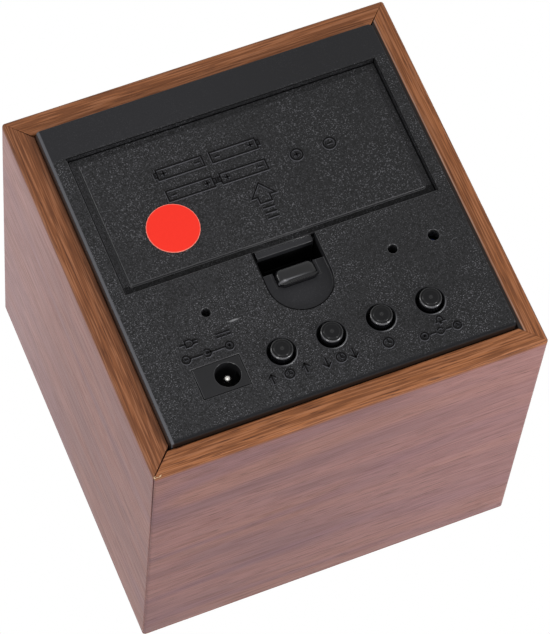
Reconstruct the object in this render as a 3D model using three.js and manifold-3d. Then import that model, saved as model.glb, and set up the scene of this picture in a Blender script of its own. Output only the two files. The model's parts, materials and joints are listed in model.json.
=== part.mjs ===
// Wooden cube alarm clock: a mitred case with a lit display behind a wood-grain film, and a black
// rear housing with a battery door, four push buttons and a supply socket.
// Millimetres. X points right as seen from the front, Y to the back and Z up.
// The origin is the centre of the base.

import * as THREE from 'three';
import { mergeVertices } from 'three/addons/utils/BufferGeometryUtils.js';
import Module from 'manifold-3d';

const wasm = await Module();
wasm.setup();

// Cells
const cellDiameter = 10.5;
const cellLength = 44.5;
const nubDiameter = 3.8;
const nubHeight = 0.9;
const cellEdgeRound = 0.5;

// Battery compartment
const cellSideGap = 0.4;
const cellRowGap = 0.5;
const cellDoorGap = 0.8;
const compartmentWall = 1.2;
const contactThickness = 0.4;
const contactWidth = 8.4;
const contactPlay = 0.1;
const bumpHeight = 0.3;
const bumpDiameter = 3.2;
const tabWidth = 2.4;
const tabReach = 1.2;
const tabClearance = 0.3;
const springLength = 4.0;
const springWire = 0.6;
const springTurns = 3;
const springBaseRadius = 3.5;
const springTipRadius = 2.1;
const touchGap = 0.05;

// Battery door
const seatWidth = 1.1;
const recessOverhang = 0.3;
const recessDepth = 2.1;
const doorGap = 0.2;
const doorSeatGap = 0.05;
const doorBorderSink = 0.8;
const doorSink = 0.45;
const doorBorderWidth = 1.1;
const doorEdgeRound = 0.2;
const hookWidth = 6;
const hookSpacing = 30;
const hookThickness = 1.2;
const hookGap = 0.4;
const hookReach = 1.6;
const hookRootHeight = 1.9;
const hookRootInset = 0.4;
const hookSwingGap = 0.3;

// Latch and finger pocket
const pocketWidth = 10.1;
const pocketDrop = 11.6;
const pocketDepthTop = 1.5;
const pocketDepthBottom = 0.9;
const pocketFloor = 1.2;
const tongueWidth = 9.1;
const tongueThickness = 0.7;
const tongueGap = 0.15;
const tongueSlope = 0.15;
const latchWidth = 6.4;
const latchReach = 5.9;
const latchArmThickness = 1.0;
const latchBendGap = 3.3;
const latchRootGap = 0.15;
const lipThickness = 0.9;
const lipDrop = 1.5;
const lipEndRound = 1.1;
const lipStraightShare = 0.6;
const lipInset = 0.2;
const catchHeight = 0.4;
const catchLength = 1.0;
const catchWidth = 3.1;
const catchInset = 4.0;
const notchSideGap = 0.35;
const notchClearance = 1.0;
const mouthRise = 0.5;
const wellWall = 1.2;
const wellClearance = 0.45;

// Rear plate and skirt
const plateThickness = 2.0;
const plateSideBorder = 2.5;
const plateOffset = 0.35;
const plateTopBorder = 6.1;
const lowerFieldHeight = 25.1;
const plateCornerRadius = 0.8;
const plateEdgeRound = 0.4;
const plateProud = 1.0;
const skirtThickness = 1.5;
const skirtDepth = 11.5;
const housingSideGap = 0.25;
const housingTopGap = 0.15;
const housingShift = 0.2;

// Case
const boardThickness = 3.5;
const caseDepth = 61;
const edgeRadius = 0.5;
const filmThickness = 0.3;
const seamOpenBack = 0.45;
const seamOpenFront = 0.05;

// Push buttons and their switches
const buttonCount = 4;
const buttonEdgeInset = 10.7;
const buttonRowHeight = 8.3;
const buttonDiameter = 3.4;
const buttonHoleDiameter = 4.4;
const buttonProud = 1.2;
const buttonEdgeRound = 0.2;
const buttonDishDepth = 0.15;
const buttonDishShare = 0.84;
const switchWidth = 6.0;
const switchHeight = 3.4;
const switchFloor = 1.0;
const switchCoverThickness = 0.25;
const switchCoverHole = 3.9;
const switchWell = 4.8;
const plungerFlange = 4.3;
const plungerFlangeThickness = 1.1;
const plungerFlangeGap = 0.3;
const buttonTotalHeight = 8.0;

// Small holes with the buzzer, microphone and temperature sensor behind them
const smallHoleDrop = 6.85;
const buzzerEdgeInset = 12.9;
const buzzerHoleDiameter = 1.45;
const buzzerDiameter = 7.5;
const buzzerHeight = 4.2;
const buzzerPortDiameter = 1.8;
const microphoneSpacing = 6.7;
const microphoneHoleDiameter = 1.5;
const microphoneDiameter = 6.0;
const microphoneHeight = 4.4;
const microphonePortDiameter = 2.0;
const portDepth = 0.8;
const sensorEdgeInset = 5.8;
const sensorHoleDiameter = 1.8;
const sensorDiameter = 2.4;
const sensorHeight = 3.2;
const sensorLegDiameter = 0.5;
const sensorLegSpacing = 1.2;
const sensorStandoff = 1.0;
const sensorRadiusShares = [0, 0.7, 1, 1, 0.6, 0];
const sensorHeightShares = [0, 0, 0.3, 0.7, 0.95, 1];

// Supply socket
const jackEdgeInset = 11.1;
const jackExtraPitch = 1.83;
const jackCentreHeight = 7.66;
const jackWidth = 7.4;
const jackHeight = 5.0;
const jackDepth = 9.5;
const jackGap = 0.1;
const jackBoreDiameter = 4.0;
const jackBoreOffset = 1.0;
const jackBackWall = 1.2;
const jackPinDiameter = 1.3;
const jackPinInset = 1.0;
const jackPinTipRadius = 0.35;
const jackPinTipShare = 0.3;
const jackContactWidth = 1.6;
const jackContactThickness = 0.3;
const jackContactBow = 0.55;
const jackContactInset = 2.2;
const jackContactShares = [0, 0.2, 0.4, 0.6, 0.8, 1];
const jackChannelDepth = 0.9;
const jackChannelGap = 0.2;

// Button board
const boardThicknessSmall = 1.6;
const boardSideGap = 0.65;
const boardLowerGap = 0.5;
const boardUpperGap = 0.4;
const boardCutGap = 0.3;
const postDiameter = 4.6;
const postPilotDiameter = 2.0;
const postPilotWall = 1.0;
const postEdgeGap = 0.4;
const postDrop = 4.55;
const screwDiameter = 1.6;
const screwLength = 4.6;
const screwHeadDiameter = 3.6;
const screwHeadHeight = 1.3;
const screwHoleDiameter = 2.2;
const crossWidth = 0.5;
const crossLength = 2.0;
const crossDepth = 0.7;

// Display
const displaySideMargin = 2.85;
const displayHeight = 19.0;
const displayDepth = 8.0;
const displayWindowGap = 0.2;
const displayFace = 1.4;
const displayWall = 1.2;
const digitCount = 4;
const digitTopMargin = 0.95;
const digitSideMargin = 0.5;
const digitGap = 3.8;
const digitStroke = 1.6;
const digitLean = 0.12;
const strokeGap = 0.35;
const lightGap = 0.12;
const lightPlateThickness = 1.6;
const lightPlateGap = 0.25;
const colonSide = 1.6;
const colonSpacing = 5.2;

// Main board and what it carries
const mainBoardMargin = 1.0;
const mainBoardHeight = 44;
const mainBoardThickness = 1.6;
const supportInset = 2.9;
const supportFootDiameter = 5.6;
const supportFootHeight = 0.8;
const supportBodyDiameter = 4.2;
const supportNeckDiameter = 2.4;
const supportHoleDiameter = 3.0;
const supportHeadDiameter = 4.0;
const supportHeadHeight = 1.2;
const chipGap = 0.02;
const controllerLength = 17.9;
const driverLength = 12.8;
const chipBodyWidth = 7.5;
const chipHeight = 2.3;
const chipStandoff = 0.2;
const chipLegPitch = 1.27;
const chipLegWidth = 0.42;
const chipLegThickness = 0.25;
const chipLegReach = 1.4;
const controllerLegCount = 14;
const driverLegCount = 10;
const chipRowOffset = 9.0;
const crystalDiameter = 3.1;
const crystalLength = 8.0;
const crystalInset = 10;
const crystalRise = 8;
const capacitorDiameter = 5.0;
const capacitorHeight = 7.0;
const capacitorInset = 9;
const capacitorRise = 9;
const capacitorGroove = 0.3;

// Leads and ribbon
const leadDiameter = 1.2;
const leadGap = 0.3;
const leadSteps = 22;
const ribbonWidth = 7.6;
const ribbonThickness = 1.1;
const ribbonInset = 9;
const ribbonHeight = 6.0;
const ribbonBoardHeight = 4.6;
const ribbonSteps = 24;
const ribbonRunShares = [0, 0.08, 0.3, 0.55, 0.85, 0.95, 1];
const ribbonDropShares = [0, 0.02, 0.5, 0.7, 0.45, 0.05, 0];

// Sticker
const stickerDiameter = 8.2;
const stickerThickness = 0.15;
const stickerSideInset = 10.8;
const stickerRise = 8.1;

// Roundness
const seenSides = 32;
const roundSides = 20;
const smallSides = 12;
const wireSides = 8;
const springSides = 5;
const springStepsPerTurn = 8;
const cutOver = 1;
const weldDistance = 1e-4;

// Places that follow from the sizes
const contactRoom = contactThickness + contactPlay + touchGap;
const compartmentLength = cellLength + springLength + bumpHeight + 2 * contactRoom;
const compartmentHeight = 2 * (cellDiameter + cellSideGap) + cellRowGap;
const recessWidth = compartmentLength + 2 * recessOverhang;
const recessHeight = compartmentHeight + 2 * seatWidth;
const plateWidth = recessWidth + 2 * plateSideBorder;
const plateHeight = plateTopBorder + recessHeight + lowerFieldHeight;
const plateLeftX = plateOffset + plateWidth / 2;
const plateRightX = plateOffset - plateWidth / 2;
const caseWidth = plateWidth + 2 * (housingSideGap + boardThickness);
const caseHeight = plateHeight + 2 * (housingTopGap + boardThickness);
const rimY = caseDepth / 2;
const plateOuterY = rimY + plateProud;
const plateInnerY = plateOuterY - plateThickness;
const skirtFrontY = plateInnerY - skirtDepth;
const seatY = plateOuterY - recessDepth;
const recessBottom = lowerFieldHeight;
const recessTop = recessBottom + recessHeight;
const compartmentBottom = recessBottom + seatWidth;
const compartmentTop = recessTop - seatWidth;
const outerCellY = seatY - cellDoorGap - cellDiameter / 2;
const innerCellY = outerCellY - cellDiameter - cellRowGap;
const lowerCellZ = compartmentBottom + cellSideGap + cellDiameter / 2;
const upperCellZ = compartmentTop - cellSideGap - cellDiameter / 2;
const compartmentFloorY = innerCellY - cellDiameter / 2 - cellSideGap;
const contactFaceX = compartmentLength / 2 - contactPlay - contactThickness;
const doorTop = recessTop - doorGap;
const doorBottom = recessBottom + doorGap;
const hingeY = plateOuterY - doorBorderSink;
const doorFaceY = plateOuterY - doorSink;
const doorInnerY = seatY + doorSeatGap;
const hookOuterY = plateInnerY - hookGap;
const hookInnerY = hookOuterY - hookThickness;
const tongueTop = compartmentBottom - compartmentWall - tongueGap;
const tongueBottom = tongueTop - tongueThickness;
const latchArmTop = tongueBottom - latchBendGap;
const latchArmBottom = latchArmTop - latchArmThickness;
const latchBendY = plateOuterY - latchReach;
const latchBendZ = (tongueTop + latchArmBottom) / 2;
const latchBendRadius = (tongueTop - latchArmBottom) / 2;
const lipOuterY = plateOuterY - lipInset;
const lipInnerY = lipOuterY - lipThickness;
const lipBottom = latchArmBottom - lipDrop;
const notchBottom = latchArmBottom - notchClearance;
const wellFrontY = latchBendY - latchBendRadius - wellClearance;
const mouthBottom = latchArmTop + mouthRise;
const pocketBottom = recessBottom - pocketDrop;
const buttonTipY = plateOuterY + buttonProud;
const boardBackY = buttonTipY - buttonTotalHeight;
const boardFrontY = boardBackY - boardThicknessSmall;
const boardHalfWidth = plateWidth / 2 - skirtThickness - boardSideGap;
const boardBottom = skirtThickness + boardLowerGap;
const boardTop = compartmentBottom - compartmentWall - tabReach - boardUpperGap;
const jackCentreX = plateLeftX - jackEdgeInset;
const jackBoreX = jackCentreX - jackBoreOffset;
const buttonPitch = (plateWidth - buttonEdgeInset - jackEdgeInset - jackExtraPitch) / buttonCount;
const firstButtonX = jackCentreX - jackExtraPitch - buttonPitch;
const smallHoleHeight = recessBottom - smallHoleDrop;
const buzzerHoleX = plateLeftX - buzzerEdgeInset;
const sensorHoleX = plateRightX + sensorEdgeInset;
const microphoneHoleX = sensorHoleX + microphoneSpacing;
const postSpacing = plateWidth - 2 * (skirtThickness + postEdgeGap) - postDiameter;
const lowPostZ = skirtThickness + postEdgeGap + postDiameter / 2;
const highPostZ = smallHoleHeight - postDrop;
const frontBoardY = filmThickness - rimY;
const frontInnerY = frontBoardY + boardThickness;
const displayFaceY = frontBoardY + touchGap;
const mainBoardFrontY = displayFaceY + displayDepth;
const mainBoardBackY = mainBoardFrontY + mainBoardThickness;
const mainBoardWidth = caseWidth - 2 * (boardThickness + mainBoardMargin);
const displayWidth = caseWidth - 2 * (boardThickness + displaySideMargin);
const lightPlateWidth = displayWidth - 2 * (displayWall + lightPlateGap);
const lightPlateHeight = displayHeight - 2 * (displayWall + lightPlateGap);
const digitHeight = lightPlateHeight - 2 * digitTopMargin;
const digitPitch = (lightPlateWidth - 2 * digitSideMargin - digitLean * digitHeight) / digitCount;
const digitWidth = digitPitch - digitGap;

// Colours of the materials
const finishes = {
  woodFilm: { color: 0x9a6444, roughness: 0.42, metalness: 0 },
  frontFilm: { color: 0x9a6444, roughness: 0.42, metalness: 0 },
  blackPlastic: { color: 0x2c2c30, roughness: 0.6, metalness: 0 },
  buttonPlastic: { color: 0x1c1c20, roughness: 0.4, metalness: 0 },
  redPaper: { color: 0xff3c2d, roughness: 0.5, metalness: 0 },
  steel: { color: 0xb9bbbd, roughness: 0.3, metalness: 1 },
  nickel: { color: 0xd0d0cb, roughness: 0.25, metalness: 1 },
  cellShell: { color: 0x9fa3a8, roughness: 0.35, metalness: 1 },
  circuitBoard: { color: 0x1f6b3a, roughness: 0.5, metalness: 0 },
  chipPlastic: { color: 0x17171a, roughness: 0.5, metalness: 0 },
  displayPlastic: { color: 0xb8bab8, roughness: 0.5, metalness: 0 },
  lightPlastic: { color: 0xfff1dc, roughness: 0.4, metalness: 0 },
  nylon: { color: 0xe9e6dc, roughness: 0.5, metalness: 0 },
  sensorResin: { color: 0x2a3a6a, roughness: 0.35, metalness: 0 },
  sleeve: { color: 0x22232a, roughness: 0.4, metalness: 0 },
  redLead: { color: 0xb5221c, roughness: 0.45, metalness: 0 },
  blackLead: { color: 0x151517, roughness: 0.45, metalness: 0 },
  greyRibbon: { color: 0x9a9da3, roughness: 0.5, metalness: 0 },
};

// Surfaces and solids
function closedSurface(geometry) {
  const bare = geometry.clone();
  bare.deleteAttribute('normal');
  bare.deleteAttribute('uv');
  const merged = mergeVertices(bare, weldDistance);
  const place = merged.getAttribute('position');
  const corners = merged.index.array;
  const kept = [];
  const a = new THREE.Vector3();
  const b = new THREE.Vector3();
  const c = new THREE.Vector3();
  let volume = 0;
  for (let i = 0; i < corners.length; i += 3) {
    const [p, q, r] = corners.slice(i, i + 3);
    if (p === q || q === r || r === p) continue;
    kept.push(p, q, r);
    a.fromBufferAttribute(place, p);
    b.fromBufferAttribute(place, q);
    c.fromBufferAttribute(place, r);
    volume += a.dot(b.cross(c));
  }
  if (volume < 0) kept.reverse();
  merged.setIndex(kept);
  merged.computeVertexNormals();
  return merged;
}

function solidOf(geometry) {
  const surface = closedSurface(geometry);
  return new wasm.Manifold(new wasm.Mesh({
    numProp: 3,
    vertProperties: new Float32Array(surface.getAttribute('position').array),
    triVerts: Uint32Array.from(surface.index.array),
  }));
}

function surfaceOf(solid) {
  const mesh = solid.getMesh();
  const geometry = new THREE.BufferGeometry();
  geometry.setAttribute('position', new THREE.BufferAttribute(mesh.vertProperties, 3));
  geometry.setIndex(new THREE.BufferAttribute(mesh.triVerts, 1));
  geometry.computeVertexNormals();
  return geometry;
}

const joined = (parts) => parts.map(solidOf).reduce((whole, next) => whole.add(next));

function cut(body, tools) {
  return tools.map(solidOf).reduce((whole, next) => whole.subtract(next), body);
}

// Blocks, pressed outlines and turned profiles
function block(x, y, z) {
  const geometry = new THREE.BoxGeometry(x[1] - x[0], y[1] - y[0], z[1] - z[0]);
  return geometry.translate((x[0] + x[1]) / 2, (y[0] + y[1]) / 2, (z[0] + z[1]) / 2);
}

const around = (middle, width) => [middle - width / 2, middle + width / 2];

const unitX = new THREE.Vector3(1, 0, 0);
const unitY = new THREE.Vector3(0, 1, 0);
const unitZ = new THREE.Vector3(0, 0, 1);

function pressedAlongY(outline, y, options = {}) {
  const geometry = new THREE.ExtrudeGeometry(outline, {
    depth: y[1] - y[0],
    bevelEnabled: false,
    curveSegments: smallSides,
    ...options,
  });
  const turn = new THREE.Matrix4().makeBasis(unitX, unitZ, unitY.clone().negate());
  return geometry.applyMatrix4(turn).translate(0, y[1], 0);
}

function pressedAlongX(outline, x, options = {}) {
  const geometry = new THREE.ExtrudeGeometry(outline, {
    depth: x[1] - x[0],
    bevelEnabled: false,
    curveSegments: smallSides,
    ...options,
  });
  const turn = new THREE.Matrix4().makeBasis(unitY, unitZ, unitX);
  return geometry.applyMatrix4(turn).translate(x[0], 0, 0);
}

function turnedAlongY(profile, x, z, sides) {
  const points = profile.map(([radius, y]) => new THREE.Vector2(radius, y));
  return new THREE.LatheGeometry(points, sides).translate(x, 0, z);
}

function turnedAlongX(profile, sides) {
  const points = profile.map(([radius, x]) => new THREE.Vector2(radius, x));
  return new THREE.LatheGeometry(points, sides).rotateZ(-Math.PI / 2);
}

const rod = (diameter, y, x, z, sides) => turnedAlongY([
  [0, y[0]],
  [diameter / 2, y[0]],
  [diameter / 2, y[1]],
  [0, y[1]],
], x, z, sides);

function outlineOf(points) {
  return new THREE.Shape(points.map(([a, b]) => new THREE.Vector2(a, b)));
}

function roundedRectangle(x, z, radius) {
  const shape = new THREE.Shape();
  shape.moveTo(x[0] + radius, z[0]);
  shape.lineTo(x[1] - radius, z[0]);
  shape.absarc(x[1] - radius, z[0] + radius, radius, -Math.PI / 2, 0, false);
  shape.lineTo(x[1], z[1] - radius);
  shape.absarc(x[1] - radius, z[1] - radius, radius, 0, Math.PI / 2, false);
  shape.lineTo(x[0] + radius, z[1]);
  shape.absarc(x[0] + radius, z[1] - radius, radius, Math.PI / 2, Math.PI, false);
  shape.lineTo(x[0], z[0] + radius);
  shape.absarc(x[0] + radius, z[0] + radius, radius, Math.PI, Math.PI * 1.5, false);
  return shape;
}

function moved(geometry, change) {
  const place = geometry.getAttribute('position');
  const point = new THREE.Vector3();
  for (let i = 0; i < place.count; i += 1) {
    point.fromBufferAttribute(place, i);
    change(point);
    place.setXYZ(i, point.x, point.y, point.z);
  }
  return geometry;
}

function piece(name, geometry, finish, parent) {
  const mesh = new THREE.Mesh(geometry, new THREE.MeshStandardMaterial(finishes[finish]));
  mesh.name = name;
  parent.add(mesh);
  return mesh;
}

// Case boards, mitred along the case's edges and at the front
const cornerSteps = 3;

function boardOutline(length, reach) {
  const mitre = length / 2;
  const inner = reach - boardThickness;
  const points = [[boardThickness - mitre, inner], [mitre - boardThickness, inner]];
  for (let i = 0; i <= cornerSteps; i += 1) {
    const angle = Math.PI / 4 + (Math.PI / 4) * (i / cornerSteps);
    points.push([
      mitre - edgeRadius + edgeRadius * Math.cos(angle),
      reach - edgeRadius + edgeRadius * Math.sin(angle),
    ]);
  }
  for (let i = cornerSteps; i >= 0; i -= 1) {
    const [x, z] = points[2 + i];
    points.push([-x, z]);
  }
  return outlineOf(points);
}

function caseBoard(length, reach, seamOpen) {
  const geometry = pressedAlongY(boardOutline(length, reach), [frontBoardY, rimY]);
  return moved(geometry, (point) => {
    if (point.y < 0) point.y = frontBoardY + reach - point.z;
    const back = (point.y - frontBoardY) / (rimY - frontBoardY);
    if (point.x > 0) point.x -= seamOpen[0] + (seamOpen[1] - seamOpen[0]) * back;
  });
}

function addCase(parent) {
  const shell = new THREE.Group();
  shell.position.z = caseHeight / 2;
  parent.add(shell);
  const closedSeam = [0, 0];
  const openSeam = [seamOpenFront, seamOpenBack];
  const boards = [
    ['case_top_board', caseWidth, caseHeight / 2, 0, closedSeam],
    ['case_right_board', caseHeight, caseWidth / 2, Math.PI / 2, openSeam],
    ['case_bottom_board', caseWidth, caseHeight / 2, Math.PI, closedSeam],
    ['case_left_board', caseHeight, caseWidth / 2, -Math.PI / 2, closedSeam],
  ];
  for (const [name, length, reach, turn, seam] of boards) {
    const board = piece(name, closedSurface(caseBoard(length, reach, seam)), 'woodFilm', shell);
    board.rotation.y = turn;
  }
  const across = around(0, caseWidth);
  const upright = around(0, caseHeight);
  const face = roundedRectangle(across, upright, edgeRadius);
  const pyramid = moved(block(across, [frontBoardY, frontInnerY], upright), (point) => {
    if (point.y < frontInnerY - touchGap) return;
    point.x -= Math.sign(point.x) * boardThickness;
    point.z -= Math.sign(point.z) * boardThickness;
  });
  const corners = { curveSegments: 2 * cornerSteps };
  const rounded = pressedAlongY(face, [frontBoardY - cutOver, frontInnerY + cutOver], corners);
  const window = block(
    around(0, displayWidth + 2 * displayWindowGap),
    [frontBoardY - cutOver, frontInnerY + cutOver],
    around(0, displayHeight + 2 * displayWindowGap),
  );
  const front = cut(solidOf(pyramid).intersect(solidOf(rounded)), [window]);
  piece('case_front_board', surfaceOf(front), 'woodFilm', shell);
  const film = pressedAlongY(face, [-rimY, frontBoardY], corners);
  piece('front_film', closedSurface(film), 'frontFilm', shell);
}

// Rear housing, in its own frame: X from the battery door's middle and Z from the plate's lower edge
function pocketOutline(grow) {
  const radius = pocketWidth / 2 + grow;
  const arcCentre = pocketBottom + pocketWidth / 2;
  const shape = new THREE.Shape();
  shape.moveTo(-radius, recessBottom + seatWidth / 2);
  shape.lineTo(-radius, arcCentre);
  shape.absarc(0, arcCentre, radius, Math.PI, 2 * Math.PI, false);
  shape.lineTo(radius, recessBottom + seatWidth / 2);
  return shape;
}

function pocketCut() {
  const outline = solidOf(pressedAlongY(pocketOutline(0), [plateInnerY - cutOver, plateOuterY + cutOver]));
  const slope = outlineOf([
    [plateOuterY - pocketDepthBottom, pocketBottom],
    [plateOuterY + 2 * cutOver, pocketBottom - cutOver],
    [plateOuterY + 2 * cutOver, recessBottom],
    [plateOuterY - pocketDepthTop, recessBottom],
  ]);
  return outline.intersect(solidOf(pressedAlongX(slope, around(0, pocketWidth + 2 * cutOver))));
}

const postPlaces = () => [-1, 1].flatMap((side) => [lowPostZ, highPostZ].map((z) => [
  plateOffset + side * postSpacing / 2,
  z,
]));

function housingBody() {
  const across = around(plateOffset, plateWidth);
  const upright = [0, plateHeight];
  const outer = roundedRectangle(across, upright, plateCornerRadius);
  const plateOutline = roundedRectangle(
    around(plateOffset, plateWidth - 2 * plateEdgeRound),
    [plateEdgeRound, plateHeight - plateEdgeRound],
    plateCornerRadius - plateEdgeRound,
  );
  const plate = pressedAlongY(plateOutline, [plateInnerY, plateOuterY - plateEdgeRound], {
    bevelEnabled: true,
    bevelThickness: plateEdgeRound,
    bevelSize: plateEdgeRound,
    bevelSegments: 3,
    curveSegments: 5,
  });
  const skirt = pressedAlongY(outer, [skirtFrontY, plateOuterY - plateEdgeRound], { curveSegments: 5 });
  const hollow = roundedRectangle(
    around(plateOffset, plateWidth - 2 * skirtThickness),
    [skirtThickness, plateHeight - skirtThickness],
    plateCornerRadius,
  );
  const skirtRoom = pressedAlongY(hollow, [skirtFrontY - cutOver, plateInnerY], { curveSegments: 5 });
  const shell = cut(joined([skirt, plate]), [skirtRoom]);
  const compartment = block(
    around(plateOffset, plateWidth - skirtThickness),
    [compartmentFloorY - compartmentWall, plateInnerY + touchGap],
    [compartmentBottom - compartmentWall, compartmentTop + compartmentWall],
  );
  const well = block(
    around(0, pocketWidth + 2 * wellWall),
    [wellFrontY - wellWall, plateInnerY + touchGap],
    [notchBottom - wellWall, compartmentBottom],
  );
  const pocketBack = pressedAlongY(pocketOutline(wellWall), [
    plateOuterY - pocketDepthTop - pocketFloor,
    plateInnerY + touchGap,
  ]);
  const postDepth = [boardBackY, plateInnerY + touchGap];
  const posts = postPlaces().map(([x, z]) => rod(postDiameter, postDepth, x, z, roundSides));
  return shell.add(joined([compartment, well, pocketBack, ...posts]));
}

function hookSlots() {
  const reach = Math.hypot(hingeY - hookInnerY, hookReach);
  return [-1, 1].map((side) => block(
    around(side * hookSpacing / 2, hookWidth + 2 * hookSwingGap),
    [hingeY - reach - hookSwingGap, plateInnerY],
    [compartmentTop - cutOver, doorTop + hookReach + hookSwingGap],
  ));
}

function batteryTools() {
  const doorway = [compartmentBottom, compartmentTop];
  const tools = [
    block(around(0, recessWidth), [seatY, plateOuterY + cutOver], [recessBottom, recessTop]),
    block(around(0, recessWidth - 2 * seatWidth), [outerCellY, seatY + touchGap], doorway),
    block(around(0, compartmentLength), [compartmentFloorY, seatY - compartmentWall], doorway),
    ...hookSlots(),
  ];
  for (const y of [outerCellY, innerCellY]) {
    tools.push(block(
      [contactFaceX - tabClearance, compartmentLength / 2],
      around(y, tabWidth + 2 * tabClearance),
      [compartmentBottom - compartmentWall - cutOver, compartmentBottom + touchGap],
    ));
  }
  return tools;
}

function latchTools() {
  const mouth = around(0, pocketWidth);
  const notch = around(0, latchWidth + 2 * notchSideGap);
  const floorBack = plateOuterY - pocketDepthTop - pocketFloor;
  const wallBottom = compartmentBottom - compartmentWall;
  return [
    block(mouth, [seatY, plateOuterY + cutOver], [mouthBottom, recessBottom + touchGap]),
    block(mouth, [wellFrontY, seatY + touchGap], [mouthBottom, wallBottom]),
    block(mouth, [wellFrontY, floorBack], [notchBottom, wallBottom]),
    block(notch, [wellFrontY, plateOuterY + cutOver], [notchBottom, wallBottom]),
  ];
}

const buttonX = (index) => firstButtonX - index * buttonPitch;

function plateHoles() {
  const through = [plateInnerY - cutOver, plateOuterY + cutOver];
  const tools = [];
  for (let i = 0; i < buttonCount; i += 1) {
    tools.push(rod(buttonHoleDiameter, through, buttonX(i), buttonRowHeight, seenSides));
  }
  const holes = [
    [buzzerHoleX, buzzerHoleDiameter],
    [microphoneHoleX, microphoneHoleDiameter],
    [sensorHoleX, sensorHoleDiameter],
  ];
  for (const [x, diameter] of holes) tools.push(rod(diameter, through, x, smallHoleHeight, roundSides));
  tools.push(block(
    around(jackCentreX, jackWidth + 2 * jackGap),
    through,
    around(jackCentreHeight, jackHeight + 2 * jackGap),
  ));
  const pilotDepth = [boardBackY - cutOver, plateInnerY + postPilotWall - pocketFloor];
  for (const [x, z] of postPlaces()) tools.push(rod(postPilotDiameter, pilotDepth, x, z, smallSides));
  return tools;
}

function rearHousing() {
  const opened = cut(housingBody(), [...batteryTools(), ...latchTools(), ...plateHoles()]);
  return surfaceOf(opened.subtract(pocketCut()));
}

// Battery door with its hooks at the top and the tongue that carries the latch
function batteryDoor() {
  const halfWidth = recessWidth / 2 - doorGap;
  const plate = block([-halfWidth, halfWidth], [doorInnerY, hingeY], [doorBottom, doorTop]);
  const inset = doorBorderWidth + doorEdgeRound;
  const raised = pressedAlongY(
    roundedRectangle(
      [inset - halfWidth, halfWidth - inset],
      [doorBottom + inset, doorTop - inset],
      doorEdgeRound,
    ),
    [doorInnerY + doorEdgeRound, doorFaceY - doorEdgeRound],
    {
      bevelEnabled: true,
      bevelThickness: doorEdgeRound,
      bevelSize: doorEdgeRound,
      bevelSegments: 2,
      curveSegments: 3,
    },
  );
  const tongue = pressedAlongX(outlineOf([
    [doorInnerY, doorBottom + touchGap],
    [doorInnerY, tongueTop],
    [latchBendY, tongueTop],
    [latchBendY, tongueBottom],
    [hingeY - tongueSlope, tongueBottom],
    [hingeY - touchGap, doorBottom + touchGap],
  ]), around(0, tongueWidth));
  const hooks = [-1, 1].flatMap((side) => {
    const x = around(side * hookSpacing / 2, hookWidth);
    const rootTop = doorTop - hookRootInset;
    return [
      block(x, [hookInnerY, hookOuterY], [rootTop - hookRootHeight, doorTop + hookReach]),
      block(x, [hookInnerY, doorInnerY + touchGap], [rootTop - hookRootHeight, rootTop]),
    ];
  });
  return surfaceOf(joined([plate, raised, tongue, ...hooks]));
}

// Latch: a bend that springs, an arm, a catch under it and a lip for the finger
function doorLatch() {
  const rootY = latchBendY - latchRootGap;
  const outline = new THREE.Shape();
  outline.moveTo(rootY, tongueTop);
  outline.absarc(rootY, latchBendZ, latchBendRadius, Math.PI / 2, Math.PI * 1.5, false);
  const lipStraight = latchArmBottom - lipDrop * lipStraightShare;
  outline.lineTo(lipInnerY, latchArmBottom);
  outline.lineTo(lipInnerY, lipStraight);
  outline.quadraticCurveTo(lipInnerY, lipBottom, lipInnerY + lipThickness / 2, lipBottom);
  outline.quadraticCurveTo(lipOuterY, lipBottom, lipOuterY, lipStraight);
  outline.lineTo(lipOuterY, latchArmTop);
  outline.lineTo(rootY, latchArmTop);
  outline.absarc(rootY, latchBendZ, latchBendGap / 2, Math.PI * 1.5, Math.PI / 2, true);
  const band = solidOf(pressedAlongX(outline, around(0, latchWidth), { curveSegments: 10 }));
  const rounded = pressedAlongY(
    roundedRectangle(around(0, latchWidth), [lipBottom, latchArmTop], lipEndRound),
    [lipInnerY - touchGap, lipOuterY + cutOver],
    { curveSegments: 5 },
  );
  const behind = block(
    around(0, latchWidth + cutOver),
    [latchBendY - latchBendRadius - cutOver, lipInnerY],
    [lipBottom - cutOver, tongueTop + cutOver],
  );
  const body = band.intersect(joined([rounded, behind]));
  const catchY = plateOuterY - catchInset;
  const tooth = pressedAlongX(outlineOf([
    [catchY, latchArmBottom + touchGap],
    [catchY - catchLength, latchArmBottom + touchGap],
    [catchY - catchLength, latchArmBottom],
    [catchY, latchArmBottom - catchHeight],
  ]), around(0, catchWidth));
  return surfaceOf(body.add(solidOf(tooth)));
}

function redSticker() {
  const x = recessWidth / 2 - stickerSideInset;
  const y = [doorFaceY, doorFaceY + stickerThickness];
  return rod(stickerDiameter, y, x, recessBottom + stickerRise, seenSides);
}

// Push buttons and their switches
function buttonPlunger(x) {
  const radius = buttonDiameter / 2;
  const coverY = boardBackY + switchHeight;
  const flangeTop = coverY - plungerFlangeGap;
  const round = (angle) => [
    radius - buttonEdgeRound * (1 - Math.cos(angle)),
    buttonTipY - buttonEdgeRound * (1 - Math.sin(angle)),
  ];
  return turnedAlongY([
    [0, flangeTop - plungerFlangeThickness],
    [plungerFlange / 2, flangeTop - plungerFlangeThickness],
    [plungerFlange / 2, flangeTop],
    [radius, flangeTop],
    round(0),
    round(Math.PI / 6),
    round(Math.PI / 3),
    round(Math.PI / 2),
    [radius * buttonDishShare, buttonTipY],
    [radius * buttonDishShare - buttonDishDepth, buttonTipY - buttonDishDepth],
    [0, buttonTipY - buttonDishDepth],
  ], x, buttonRowHeight, seenSides);
}

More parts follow.
